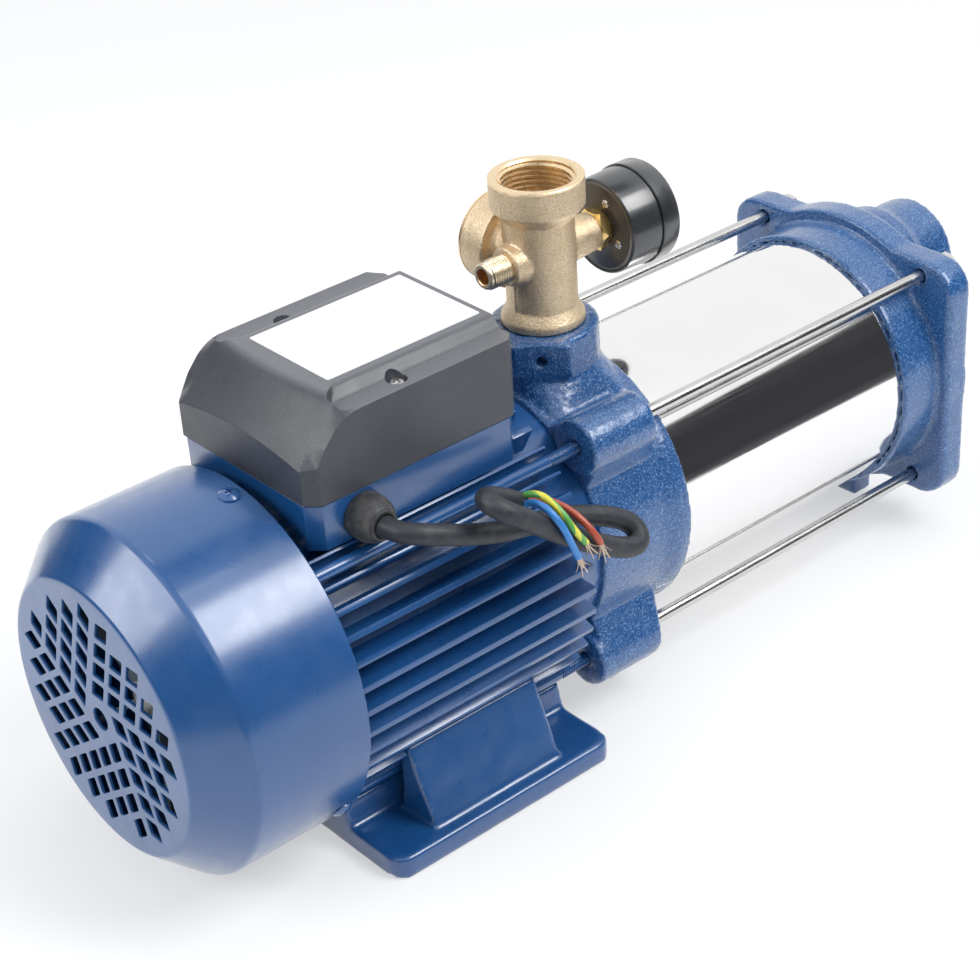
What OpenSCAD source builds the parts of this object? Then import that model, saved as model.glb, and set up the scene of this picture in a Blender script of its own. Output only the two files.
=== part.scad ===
// Horizontal multistage centrifugal pump: a finned motor drives five stages in a stainless barrel.
// X runs from the fan to the suction port, Z is up, and the near side with the lead is -Y.
// The origin is the middle of the motor foot's underside, below the shaft axis.

/* [Stand and foot] */
// Height of the pedestal's top above the floor
pedestal_h = 22; // [18:0.5:30]
// How much shorter the foot plate is than the housing tube
foot_margin = 26; // [16:1:46]
// Width of the foot plate
foot_w = 167; // [156:1:190]
// Thickness of the foot plate
foot_t = 10.5; // [8:0.5:13]
// Corner radius of the foot plate
foot_corner_r = 8; // [4:1:12]
// Width of the pedestal where it stands on the plate
pedestal_w = 107; // [96:1:110]
// Length of each sloping gusset
gusset_l = 70; // [50:1:90]
// Thickness of each gusset at its top
gusset_t = 5; // [3:0.5:6]
// Length of the front foot along the shaft
front_foot_l = 13; // [8:1:15]
// Width of the front foot
front_foot_w = 27; // [20:1:40]

/* [Motor housing] */
// Distance from the foot's middle to the housing's rear end
motor_back_l = 68; // [66:1:74]
// Outer radius of the housing tube
tube_r = 60; // [58:0.5:62]
// Wall of the housing tube
tube_wall = 8; // [6:0.5:9]
// Radius over the fin tips
fin_r = 74; // [70:0.5:76]
// Thickness of a fin
fin_t = 2.6; // [1.6:0.2:3.4]
// Number of fins in a full turn
fin_count = 42; // [30:2:48]
// Bare length of the tube after the fins
fin_tail_l = 16; // [10:1:34]
// Length of the housing tube
tube_l = 146; // [142:1:156]
// Radius of the through bolts
bolt_r = 3; // [2.5:0.25:3]

/* [Fan cover] */
// Length of the fan cover
cover_l = 74; // [66:1:84]
// Outer radius of the fan cover
cover_r = 79; // [79:0.5:84]
// Outer radius of the flat grille face
cover_face_r = 60.5; // [55:0.5:66]
// Length of the cover's sloping shoulder
cover_slope_l = 19; // [12:1:22]
// Sheet thickness of the cover
cover_t = 1.4; // [1:0.1:1.6]
// Pitch of the grille holes along each ray
grille_pitch = 11.25; // [10:0.25:13]
// Side of a grille hole
grille_hole = 8; // [6:0.2:8.6]
// Radius within which grille holes lie
grille_limit_r = 49; // [40:1:50]
// Radius of the hole in the middle of the grille
grille_centre_r = 5; // [2:0.5:5]
// Radius of the fan
fan_r = 66; // [50:1:72]
// Number of fan blades
fan_blades = 7; // [5:1:11]

/* [Terminal box] */
// Distance from the foot's middle to the terminal box's rear face
box_back_l = 58; // [56:1:60]
// How much shorter the terminal box is than the housing tube
box_margin = 37; // [30:1:40]
// Width of the terminal box
box_w = 92; // [88:1:96]
// Height of the box base above the housing's flat
box_base_h = 21.4; // [20:0.2:28]
// Height of the lid
lid_h = 38.6; // [34:0.2:46]
// Wall of the box base and lid
box_wall = 3; // [2:0.25:3.5]
// Chamfer on the upright corners
box_chamfer = 5.5; // [4:0.5:8]
// Length of the lid's sloping end
ramp_l = 26; // [18:1:34]
// Width of the raised middle of the lid
plateau_w = 60; // [50:1:62]
// Thickness of the bare plate
plate_t = 0.4; // [0.2:0.1:1]

/* [Rotor and bearings] */
// Outer radius of the rotor core
rotor_r = 27; // [24:0.5:30]
// How much shorter the stator and rotor cores are than the housing tube
core_margin = 60; // [54:1:86]
// Air gap between rotor and stator
air_gap = 0.4; // [0.3:0.1:0.8]
// Shaft radius at the bearings
bearing_shaft_r = 8.5; // [8:0.5:9.5]
// Outer radius of the bearings
bearing_r = 20; // [19:0.5:21]
// Width of a bearing
bearing_w = 12; // [10:0.5:13]
// Shaft radius under the impellers
pump_shaft_r = 6; // [5:0.5:7]

/* [Pump barrel and stages] */
// Outer radius of the barrel
barrel_r = 61.3; // [60:0.1:63]
// Wall of the barrel
barrel_wall = 1.2; // [0.8:0.1:1.5]
// Length of barrel that shows between the castings
barrel_show_l = 142; // [142:1:170]
// Pitch of one stage
stage_pitch = 27; // [25:0.5:27]
// Outer radius of an impeller
impeller_r = 48; // [40:0.5:49]
// Number of blades in an impeller
impeller_blades = 6; // [5:1:8]
// Radius of the tie rods
rod_r = 2.9; // [2.5:0.1:3.5]
// Sideways distance from the shaft axis to a tie rod
rod_y = 50; // [48:0.5:50]
// Upright distance from the shaft axis to a tie rod
rod_z = 54; // [52:0.5:54]

/* [Castings] */
// Outer radius of the outlet casting's body
casting_r = 62; // [60:0.5:65]
// Length of the outlet casting along the shaft
casting_l = 51; // [50:1:56]
// Distance from the casting's rear face to the outlet axis
outlet_inset = 26; // [25:0.5:27]
// Wall of the rings that hold the barrel
ring_wall = 2.8; // [2.2:0.1:4]
// Height of the outlet neck's top above the shaft axis
neck_rise = 87; // [84:1:98]
// Outer radius of the outlet neck
neck_r = 24; // [22:0.5:28]
// Length of the collar on the inlet cover
collar_l = 23.3; // [20:0.1:30]
// Thickness of the inlet cover's flange
flange_t = 15; // [13:0.5:20]
// Radius of the inlet cover's round flange
flange_r = 70; // [67:0.5:74]
// Width of the squared part of the inlet cover's flange
flange_w = 139; // [136:1:144]
// Height of the squared part of the inlet cover's flange
flange_h = 124; // [122:1:134]
// Corner radius of the inlet cover's flange
flange_corner_r = 15; // [8:0.5:16]
// Radius of the casting's ears around the tie rods
ear_r = 13; // [10:0.5:13.5]
// Height of the inlet axis above the shaft axis
inlet_rise = 34; // [28:0.5:35]
// Outer radius of the inlet neck
inlet_neck_r = 26; // [22:0.5:28]
// Length of the inlet neck beyond the flange
inlet_neck_l = 41; // [36:1:50]

/* [Ports] */
// Bore radius of a one-inch female thread
port_r = 15.15; // [14:0.05:16]
// Depth of a one-inch female thread
port_depth = 16; // [12:0.5:18]
// Radius of the one-inch male thread
male_r = 16.6; // [15.5:0.05:17.5]
// Radius of the quarter-inch male nipple
nipple_r = 6.58; // [5:0.02:7]
// Height of the side ports above the neck's top
cross_rise = 31; // [27:1:34]
// Height of the brass fitting above the neck's top
fitting_rise = 67; // [62:1:80]
// Radius of the brass body
fitting_r = 15.5; // [15.5:0.5:18]
// Radius of the brass collars
fitting_collar_r = 20.5; // [19:0.5:23]

/* [Gauge] */
// Radius of the gauge case at its back
gauge_back_r = 21.6; // [20.4:0.2:22]
// Radius of the gauge bezel
gauge_r = 23; // [22.6:0.2:28]
// Depth of the gauge case behind the bezel
gauge_case_l = 17; // [15:0.5:24]
// Depth of the bezel
gauge_bezel_l = 10; // [9:0.5:14]

/* [Lead] */
// Diameter of the lead's sheath
lead_d = 9; // [7:0.5:9.5]
// Diameter of one insulated core
core_d = 3; // [2.4:0.1:3.2]
// Outer radius of the rubber gland
gland_r = 10; // [9:0.5:11]

/* [Clearances] */
// Running gap of turning rings and seals
run_gap = 0.05; // [0.02:0.01:0.1]
// Gap of a close sliding fit
slide_gap = 0.1; // [0.05:0.01:0.2]
// Free gap around a bolt or between loose pieces
free_gap = 0.4; // [0.3:0.05:0.8]

/* [Hidden] */
$fn = 96;

// One overrun serves every cut, and one bite sinks a boss into its body
over = 1;
bite = 4;
// Facets of small blended shapes
blend_fn = 24;

// Height of the shaft axis above the floor
shaft_h = pedestal_h + tube_r;

// Motor stations along the shaft
fin_lead_l = 2;
cover_lap_l = 4;
tube_start_x = -motor_back_l;
tube_end_x = tube_start_x + tube_l;
fin_start_x = tube_start_x + fin_lead_l;
fin_l = tube_l - fin_lead_l - fin_tail_l;
foot_l = tube_l - foot_margin;
box_l = tube_l - box_margin;
core_l = tube_l - core_margin;
cover_rear_x = tube_start_x + cover_lap_l;
cover_front_x = cover_rear_x - cover_l;
bore_r = tube_r - tube_wall;
flat_drop = 1;
flat_h = shaft_h + tube_r - flat_drop;
shield_l = 12;
shield_x = tube_start_x - shield_l;
spigot_l = 4;
bearing_rear_x = tube_start_x - spigot_l - bearing_w;
bearing_front_x = tube_end_x - bearing_w;

// Pump stations along the shaft
casting_x = tube_end_x;
casting_end_x = casting_x + casting_l;
outlet_x = casting_x + outlet_inset;
neck_h = shaft_h + neck_rise;
cross_h = neck_h + cross_rise;
fitting_top_h = neck_h + fitting_rise;
barrel_gap = 1.1;
spigot_r = barrel_r - barrel_wall - barrel_gap;
socket_r = barrel_r + slide_gap;
o_ring_d = socket_r - spigot_r;
ring_r = socket_r + ring_wall;
outlet_socket_l = 7.3;
inlet_socket_l = 9.3;
barrel_x = casting_end_x - outlet_socket_l;
cover_x = casting_end_x + barrel_show_l;
barrel_l = barrel_show_l + outlet_socket_l + inlet_socket_l;
barrel_end_x = barrel_x + barrel_l;
flange_x = cover_x + collar_l;
flange_end_x = flange_x + flange_t;
inlet_h = shaft_h + inlet_rise;
inlet_end_x = flange_end_x + inlet_neck_l;

// Stage stations, counted from the suction end
stage_count = 5;
stack_lead_l = 10.4;
stack_x = barrel_x + stack_lead_l;
stack_end_x = stack_x + stage_count * stage_pitch;
plate_web = 2;

// The four tie rods and the four through bolts share these axes
rod_places = [for (sy = [-1, 1], sz = [-1, 1]) [sy * rod_y, shaft_h + sz * rod_z]];

module on_shaft(x) translate([x, 0, shaft_h]) rotate([0, 90, 0]) children();
module at_rods(x) for (p = rod_places) translate([x, p[0], p[1]]) rotate([0, 90, 0]) children();
module hexagon(across, l) cylinder(d = across / cos(30), h = l, $fn = 6);
module ring(r_out, r_in, l) difference() {
    cylinder(r = r_out, h = l);
    translate([0, 0, -over]) cylinder(r = r_in, h = l + 2 * over);
}
module rounded_plate(l, w, r, h) linear_extrude(h) union() {
    square([l - 2 * r, w], center = true);
    square([l, w - 2 * r], center = true);
    for (sx = [-1, 1], sy = [-1, 1]) translate([sx * (l / 2 - r), sy * (w / 2 - r)]) circle(r = r);
}
module cross_slot(l, w, h) for (a = [0, 90]) rotate(a) translate([-l / 2, -w / 2, 0]) cube([l, w, h]);

// FAN COVER
// Five fans of rhombic holes turn around the middle like a pinwheel
first_hole_r = 14.8;
first_hole_angle = 97;
ray_turn = 72;
ray_steps = 5;
cover_edge_l = 2;
cover_edge_r = 1;
function ray(a) = [cos(a), sin(a)];
module grille_hole_at(c, u, v) translate(c)
    polygon([for (q = [[-1, -1], [1, -1], [1, 1], [-1, 1]]) grille_hole / 2 * (q[0] * u + q[1] * v)]);
module grille_holes() {
    for (k = [0:4], i = [0:ray_steps - 1], j = [0:ray_steps - 1]) {
        u = ray(180 + ray_turn * k);
        v = ray(180 - ray_turn + ray_turn * k);
        c = first_hole_r * ray(first_hole_angle + ray_turn * k) + grille_pitch * (i * u + j * v);
        if (norm(c) < grille_limit_r) grille_hole_at(c, u, v);
    }
    circle(r = grille_centre_r, $fn = blend_fn);
}
cover_screw_angles = [7, 127, 247];
cover_screw_inset = 7;
cover_screw_r = 2.5;
cover_screw_l = 12;
screw_head_r = 4.6;
screw_head_h = 2.2;
screw_rim_share = 0.75;
module cover_screw_places() for (a = cover_screw_angles)
    translate([cover_rear_x - cover_screw_inset, 0, shaft_h]) rotate([a, 0, 0]) children();
module fan_cover() color("royalblue") difference() {
    on_shaft(cover_front_x) difference() {
        rotate_extrude() polygon([[0, 0], [cover_face_r, 0], [cover_r - cover_edge_r, cover_slope_l],
            [cover_r, cover_slope_l + cover_edge_l], [cover_r, cover_l], [cover_r - cover_t, cover_l],
            [cover_r - cover_t, cover_slope_l + cover_edge_l],
            [cover_r - cover_edge_r - cover_t, cover_slope_l], [cover_face_r - cover_t, cover_t],
            [0, cover_t]]);
        translate([0, 0, -over]) linear_extrude(cover_t + 2 * over) rotate(90) grille_holes();
    }
    cover_screw_places() cylinder(r = cover_screw_r + slide_gap, h = cover_r);
}
module fan_cover_screws() color("royalblue") cover_screw_places() {
    translate([0, 0, cover_r - cover_screw_l]) cylinder(r = cover_screw_r, h = cover_screw_l);
    translate([0, 0, cover_r]) difference() {
        cylinder(r1 = screw_head_r, r2 = screw_head_r * screw_rim_share, h = screw_head_h);
        translate([0, 0, screw_head_h / 2]) cross_slot(screw_head_r, screw_head_h / 2, screw_head_h);
    }
}

// COOLING FAN
fan_l = 22;
fan_gap = 8;
fan_x = bearing_rear_x - fan_gap - fan_l;
fan_hub_r = 16;
fan_seat_r = bearing_shaft_r - over;
fan_plate_t = 2.5;
module cooling_fan() color("dimgray") on_shaft(fan_x) difference() {
    union() {
        cylinder(r = fan_hub_r, h = fan_l);
        translate([0, 0, fan_l - fan_plate_t]) cylinder(r = fan_r, h = fan_plate_t);
        for (k = [0:fan_blades - 1]) rotate(k * 360 / fan_blades)
            translate([fan_hub_r - over, -fan_plate_t / 2, 0])
                cube([fan_r - fan_hub_r, fan_plate_t, fan_l]);
    }
    translate([0, 0, -over]) cylinder(r = fan_seat_r + run_gap, h = fan_l + 2 * over);
}

// REAR SHIELD
shield_hub_wall = 6;
shield_hub_r = bearing_r + shield_hub_wall;
shield_ear_r = 9;
shield_lip_l = 3;
shield_shaft_r = bearing_shaft_r + over;
shield_hollow_r = 46;
shield_hollow_l = 5;
pad_w = 14;
module rear_shield() color("royalblue") difference() {
    union() {
        on_shaft(shield_x) cylinder(r = tube_r, h = shield_l);
        on_shaft(tube_start_x) cylinder(r = bore_r - slide_gap, h = spigot_l);
        on_shaft(bearing_rear_x - shield_lip_l)
            cylinder(r = shield_hub_r, h = tube_start_x - bearing_rear_x);
        intersection() {
            on_shaft(shield_x) cylinder(r = cover_r - cover_t - slide_gap, h = shield_l);
            union() {
                at_rods(shield_x) cylinder(r = shield_ear_r, h = shield_l);
                for (sy = [-1, 1], sz = [-1, 1]) on_shaft(shield_x)
                    rotate(atan2(sy * rod_y, sz * rod_z)) translate([-tube_r - pad_w, -pad_w / 2, 0])
                        cube([2 * pad_w, pad_w, shield_l]);
                cover_screw_places() translate([-pad_w / 2, -pad_w / 2, tube_r - bite])
                    cube([pad_w, pad_w, cover_r]);
            }
        }
    }
    on_shaft(bearing_rear_x) cylinder(r = bearing_r, h = shield_l + motor_back_l);
    on_shaft(bearing_rear_x - shield_lip_l - over) cylinder(r = shield_shaft_r, h = shield_l);
    on_shaft(tube_start_x - shield_hollow_l) cylinder(r = shield_hollow_r, h = shield_l);
    at_rods(shield_x - over) cylinder(r = bolt_r + slide_gap, h = shield_l + 2 * over);
    cover_screw_places() translate([0, 0, cover_r - cover_screw_l - over])
        cylinder(r = cover_screw_r, h = cover_screw_l);
}

// BEARINGS
ball_count = 8;
race_t = 4.2;
ball_r = 3.35;
ball_path_r = (bearing_r + bearing_shaft_r) / 2;
module bearing_groove() translate([0, 0, bearing_w / 2]) rotate_extrude() translate([ball_path_r, 0])
    circle(r = ball_r + run_gap);
module bearing_outer(x) color("silver") on_shaft(x) difference() {
    ring(bearing_r, bearing_r - race_t, bearing_w);
    bearing_groove();
}
module bearing_inner(x) color("gainsboro") on_shaft(x) {
    difference() {
        ring(bearing_shaft_r + race_t, bearing_shaft_r, bearing_w);
        bearing_groove();
    }
    for (k = [0:ball_count - 1]) rotate(k * 360 / ball_count)
        translate([ball_path_r, 0, bearing_w / 2]) sphere(r = ball_r, $fn = blend_fn);
}
module rear_bearing_outer() bearing_outer(bearing_rear_x);
module rear_bearing_inner() bearing_inner(bearing_rear_x);
module front_bearing_outer() bearing_outer(bearing_front_x);
module front_bearing_inner() bearing_inner(bearing_front_x);

// MOTOR HOUSING
fin_root_share = 1.4;
bolt_groove = 2.6;
bolt_clear_r = bolt_r + bolt_groove;
housing_pad_w = 44;
wire_hole_r = 8;
module motor_housing() color("royalblue") difference() {
    union() {
        on_shaft(tube_start_x) cylinder(r = tube_r, h = tube_l);
        on_shaft(fin_start_x) for (k = [0:fin_count - 1]) rotate((k + 0.5) * 360 / fin_count)
            linear_extrude(fin_l) polygon([[tube_r - over, -fin_t / 2 * fin_root_share],
                [fin_r, -fin_t / 2], [fin_r, fin_t / 2], [tube_r - over, fin_t / 2 * fin_root_share]]);
        translate([box_x, -housing_pad_w / 2, shaft_h]) cube([box_l, housing_pad_w, tube_r - over]);
        translate([-foot_l / 2, -housing_pad_w / 2, shaft_h - tube_r])
            cube([foot_l, housing_pad_w, tube_r]);
    }
    on_shaft(tube_start_x - over) cylinder(r = bore_r, h = tube_l + 2 * over);
    at_rods(tube_start_x - over) cylinder(r = bolt_clear_r, h = tube_l + 2 * over);
    at_rods(lug_x - free_gap) cylinder(r = ear_r + free_gap, h = tube_l);
    // Flats for the terminal box and the foot
    translate([box_x - free_gap, -box_w / 2 - free_gap, flat_h])
        cube([box_l + 2 * free_gap, box_w + 2 * free_gap, fin_r]);
    translate([tube_start_x - over, -pedestal_w / 2, -over])
        cube([tube_l + 2 * over, pedestal_w, pedestal_h + over]);
    for (s = [0, 1]) mirror([0, s, 0]) gusset(free_gap);
    foot_screw_places() cylinder(r = foot_screw_r, h = pedestal_h + foot_screw_bite);
    box_screw_places() translate([0, 0, flat_h - box_screw_l]) cylinder(r = box_screw_r, h = tube_wall);
    translate([0, 0, flat_h - 2 * tube_wall]) cylinder(r = wire_hole_r, h = 3 * tube_wall);
}

// FOOT
pedestal_lean = 5;
gusset_inset = 6.5;
gusset_top_y = 62;
gusset_rise = 23;
gusset_top_h = pedestal_h + gusset_rise;
foot_screw_r = 3;
foot_screw_head_r = 5.5;
foot_screw_head_h = 5;
foot_screw_seat = 1;
foot_screw_bite = 5;
foot_screw_inset = 18;
foot_screw_x = foot_l / 2 - foot_screw_inset;
foot_screw_y = 12;
module foot_screw_places() for (sx = [-1, 1], sy = [-1, 1])
    translate([sx * foot_screw_x, sy * foot_screw_y, 0]) children();
module gusset(grow) translate([-gusset_l / 2 - grow, 0, 0]) rotate([90, 0, 90])
    linear_extrude(gusset_l + 2 * grow) polygon([[-pedestal_w / 2 - free_gap, 0],
        [-foot_w / 2 + gusset_inset - grow, 0], [-foot_w / 2 + gusset_inset - grow, foot_t],
        [-gusset_top_y - grow, gusset_top_h + grow],
        [-gusset_top_y + gusset_t + grow, gusset_top_h + grow]]);
module foot_base() color("royalblue") difference() {
    union() {
        rounded_plate(foot_l, foot_w, foot_corner_r, foot_t);
        translate([-foot_l / 2, 0, 0]) rotate([90, 0, 90]) linear_extrude(foot_l)
            polygon([[-pedestal_w / 2, 0], [pedestal_w / 2, 0],
                [pedestal_w / 2 - pedestal_lean, pedestal_h],
                [-pedestal_w / 2 + pedestal_lean, pedestal_h]]);
        for (s = [0, 1]) mirror([0, s, 0]) gusset(0);
    }
    translate([0, 0, -over]) foot_screw_places() {
        cylinder(r = foot_screw_r + slide_gap, h = pedestal_h + 2 * over);
        cylinder(r = foot_screw_head_r + free_gap, h = foot_t - foot_screw_seat + over);
    }
    // The through bolts pass clear of the pedestal's upper corners
    at_rods(-foot_l) cylinder(r = bolt_r + free_gap, h = 2 * foot_l);
}
module foot_screws() color("silver") foot_screw_places() {
    seat_h = foot_t - foot_screw_seat;
    translate([0, 0, seat_h - foot_screw_head_h]) difference() {
        cylinder(r = foot_screw_head_r, h = foot_screw_head_h);
        translate([0, 0, -over]) hexagon(foot_screw_head_r, foot_screw_head_h / 2 + over);
    }
    translate([0, 0, seat_h]) cylinder(r = foot_screw_r, h = pedestal_h - foot_t + foot_screw_bite);
}

// STATOR AND ROTOR
slot_count = 24;
slot_w = 4;
slot_depth = 14;
slot_gap = 0.4;
tooth_tip_l = 3;
core_lead_l = 25;
core_x = tube_start_x + core_lead_l;
end_turn_l = 14;
end_ring_l = 7;
rotor_seat_r = 11;
module stator_core() color("darkgray") on_shaft(core_x) difference() {
    cylinder(r = bore_r - run_gap, h = core_l);
    translate([0, 0, -over]) linear_extrude(core_l + 2 * over) {
        circle(r = rotor_r + air_gap);
        for (k = [0:slot_count - 1]) rotate(k * 360 / slot_count)
            translate([rotor_r, -slot_w / 2]) square([slot_depth, slot_w]);
    }
}
module stator_windings() color("sienna") on_shaft(core_x) {
    for (z = [-end_turn_l, core_l]) translate([0, 0, z]) rotate_extrude()
        translate([rotor_r + tooth_tip_l, 0]) square([slot_depth, end_turn_l]);
    linear_extrude(core_l) for (k = [0:slot_count - 1]) rotate(k * 360 / slot_count)
        translate([rotor_r + tooth_tip_l, -slot_w / 2 + slide_gap])
            square([slot_depth - tooth_tip_l - slot_gap, slot_w - 2 * slide_gap]);
}
module rotor_core() color("gray") on_shaft(core_x) difference() {
    union() {
        cylinder(r = rotor_r, h = core_l);
        translate([0, 0, -end_ring_l]) cylinder(r = rotor_r - over, h = core_l + 2 * end_ring_l);
    }
    translate([0, 0, -end_ring_l - over])
        cylinder(r = rotor_seat_r, h = core_l + 2 * end_ring_l + 2 * over);
}

// SHAFT
shaft_step = 2;
seal_shaft_r = pump_shaft_r + shaft_step;
shoulder_l = 2;
nut_l = 8;
shaft_stub_l = 2;
shaft_x = fan_x - shoulder_l - shaft_stub_l;
pump_shoulder_x = stack_x + plate_web;
shaft_nut_x = stack_end_x + plate_web;
module shaft() color("lightgray") {
    on_shaft(shaft_x) cylinder(r = fan_seat_r, h = bearing_rear_x - shoulder_l - shaft_x);
    on_shaft(bearing_rear_x - shoulder_l) cylinder(r = bearing_shaft_r, h = bearing_w + shoulder_l);
    on_shaft(bearing_rear_x + bearing_w)
        cylinder(r = rotor_seat_r, h = bearing_front_x - bearing_rear_x - bearing_w);
    on_shaft(bearing_front_x) cylinder(r = bearing_shaft_r, h = bearing_w + shoulder_l);
    on_shaft(tube_end_x + shoulder_l)
        cylinder(r = seal_shaft_r, h = pump_shoulder_x - tube_end_x - shoulder_l);
    on_shaft(pump_shoulder_x)
        cylinder(r = pump_shaft_r, h = shaft_nut_x + nut_l + shaft_stub_l - pump_shoulder_x);
}

// THROUGH BOLTS
bolt_bite = 12;
bolt_head_brim = 0.6;
bolt_head_r = bolt_r + bolt_head_brim;
bolt_head_h = 4;
bolt_slot_w = 1;
module through_bolts() color("midnightblue") at_rods(shield_x - bolt_head_h) difference() {
    union() {
        cylinder(r = bolt_head_r, h = bolt_head_h);
        cylinder(r = bolt_r, h = lug_x + bolt_bite - shield_x + bolt_head_h);
    }
    translate([-bolt_head_r, -bolt_slot_w / 2, -over]) cube([2 * bolt_head_r, bolt_slot_w, 2 * over]);
}

// TERMINAL BOX
box_x = -box_back_l;
box_top_h = flat_h + box_base_h;
lid_top_h = box_top_h + lid_h;
gasket_t = 0.8;
gasket_inset = 0.5;
box_screw_r = 2;
box_screw_l = 5;
box_screw_head_r = 3.6;
box_screw_rear_inset = 15;
box_screw_front_inset = 8;
box_screw_y = 14;
lid_screw_back = 53;
lid_screw_inset = 9;
lid_screw_x = box_x + lid_screw_back;
lid_screw_y = box_w / 2 - lid_screw_inset;
lid_screw_r = 2;
lid_screw_head_r = 4;
lid_screw_head_h = 2.4;
lid_screw_bite = 12;
lid_screw_sink = 4;
lid_post_r = 5;
gland_back = 25;
gland_rise = 9;
gland_ease = 1;
gland_x = box_x + gland_back;
gland_h = flat_h + gland_rise;
gland_hole_r = lead_d / 2 + gland_ease;
module box_outline(inset) polygon([
    [inset, box_chamfer], [box_chamfer, inset],
    [box_l - box_chamfer, inset], [box_l - inset, box_chamfer],
    [box_l - inset, box_w - box_chamfer], [box_l - box_chamfer, box_w - inset],
    [box_chamfer, box_w - inset], [inset, box_w - box_chamfer]]);
module box_slab(inset, z, h) translate([box_x, -box_w / 2, z]) linear_extrude(h) box_outline(inset);
module box_screw_places()
    for (x = [box_x + box_screw_rear_inset, box_x + box_l - box_screw_front_inset], s = [-1, 1])
    translate([x, s * box_screw_y, 0]) children();
module lid_screw_places() for (s = [-1, 1]) translate([lid_screw_x, s * lid_screw_y, 0]) children();
module terminal_box_base() color("royalblue") difference() {
    union() {
        difference() {
            box_slab(0, flat_h, box_base_h - gasket_t);
            box_slab(box_wall, flat_h + box_wall, box_base_h);
        }
        lid_screw_places() translate([0, 0, flat_h]) cylinder(r = lid_post_r, h = box_base_h);
    }
    lid_screw_places() translate([0, 0, box_top_h - lid_screw_bite - over])
        cylinder(r = lid_screw_r, h = lid_screw_bite + 2 * over);
    box_screw_places() translate([0, 0, flat_h - over]) cylinder(r = box_screw_r, h = box_base_h);
    translate([0, 0, flat_h - over]) cylinder(r = wire_hole_r, h = box_base_h);
    translate([gland_x, -box_w / 2 - over, gland_h]) rotate([-90, 0, 0])
        cylinder(r = gland_hole_r, h = box_wall + 2 * over);
}
module box_screws() color("silver") box_screw_places() {
    translate([0, 0, flat_h - box_screw_l]) cylinder(r = box_screw_r, h = box_wall + box_screw_l);
    translate([0, 0, flat_h + box_wall]) cylinder(r = box_screw_head_r, h = box_screw_r);
}
module lid_gasket() color("black") difference() {
    box_slab(gasket_inset, box_top_h - gasket_t, gasket_t);
    box_slab(box_wall - gasket_inset, box_top_h - gasket_t - over, gasket_t + 2 * over);
}

// LID
// Side and end outlines as drops below the lid's top
valley_drop = 5;
valley_w = 6;
valley_floor_w = 2;
wall_rise = 1;
ramp_drop = 19;
ramp_shares = [[0, 1], [0.45, 0.46], [0.8, 0.12], [1, 0]];
ledge_h = lid_top_h - valley_drop;
lid_half = box_w / 2;
brow_y = plateau_w / 2;
function lid_half_outline(inset) = [[lid_half - inset, box_top_h],
    [lid_half - inset, ledge_h + wall_rise - inset], [brow_y + valley_w, ledge_h - inset],
    [brow_y + valley_floor_w, ledge_h + valley_drop / 2 - inset],
    [brow_y - valley_floor_w, lid_top_h - inset]];
module lid_body(inset) intersection() {
    box_slab(inset, box_top_h, lid_h - inset);
    translate([box_x, box_w / 2, 0]) rotate([90, 0, 0]) linear_extrude(box_w) polygon(concat(
        [[inset, box_top_h]],
        [for (p = ramp_shares) [inset + ramp_l * p[0], lid_top_h - inset - ramp_drop * p[1]]],
        [[box_l - inset, lid_top_h - inset], [box_l - inset, box_top_h]]));
    translate([box_x, 0, 0]) rotate([90, 0, 90]) linear_extrude(box_l) polygon(concat(
        lid_half_outline(inset),
        [for (i = [4:-1:0]) [-lid_half_outline(inset)[i][0], lid_half_outline(inset)[i][1]]]));
}
module terminal_box_lid() color([0.24, 0.24, 0.26]) difference() {
    union() {
        difference() {
            lid_body(0);
            translate([0, 0, -over]) lid_body(box_wall);
        }
        lid_screw_places() translate([0, 0, box_top_h])
            cylinder(r = lid_post_r, h = ledge_h - box_top_h - over);
    }
    lid_screw_places() translate([0, 0, box_top_h - over])
        cylinder(r = lid_screw_r + slide_gap, h = lid_h);
    lid_screw_places() translate([0, 0, ledge_h - lid_screw_sink])
        cylinder(r = lid_screw_head_r + slide_gap, h = lid_h);
}
module lid_screws() color("silver") lid_screw_places() {
    translate([0, 0, box_top_h - lid_screw_bite]) cylinder(r = lid_screw_r - run_gap,
        h = ledge_h - lid_screw_sink + lid_screw_bite - box_top_h);
    translate([0, 0, ledge_h - lid_screw_sink]) difference() {
        cylinder(r = lid_screw_head_r, h = lid_screw_head_h);
        translate([0, 0, lid_screw_head_h / 2])
            cross_slot(lid_screw_head_r, lid_screw_head_h / 2, lid_screw_head_h);
    }
}
plate_lead_l = 2;
plate_tail_l = 3;
plate_edge = 4;
module nameplate() color("white") translate([box_x + ramp_l + plate_lead_l, -brow_y + plate_edge, lid_top_h])
    cube([box_l - ramp_l - plate_lead_l - plate_tail_l, plateau_w - 2 * plate_edge, plate_t]);

// TERMINAL BLOCK AND CAPACITOR
block_l = 56;
block_w = 18;
block_h = 16;
block_back = 20;
block_gap = 8;
block_x = box_x + block_back;
block_y = -lid_screw_y + lid_post_r + block_gap;
way_count = 6;
way_pitch = block_l / way_count;
way_screw_r = 2.2;
way_wire_r = 1.8;
module terminal_block() color("ivory") translate([block_x, block_y, flat_h + box_wall]) difference() {
    cube([block_l, block_w, block_h]);
    for (k = [0:way_count - 1]) translate([(k + 0.5) * way_pitch, 0, 0]) {
        translate([0, block_w / 2, block_h / 4]) cylinder(r = way_screw_r, h = block_h);
        translate([0, -over, block_h / 3]) rotate([-90, 0, 0])
            cylinder(r = way_wire_r, h = block_w + 2 * over);
    }
}
capacitor_r = 14;
capacitor_l = 62;
capacitor_back = 28;
capacitor_gap = 2;
capacitor_x = box_x + capacitor_back;
capacitor_y = lid_screw_y - lid_post_r - capacitor_r - capacitor_gap;
tag_l = 8;
tag_w = 3;
tag_t = 1.2;
tag_y = 5;
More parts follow.
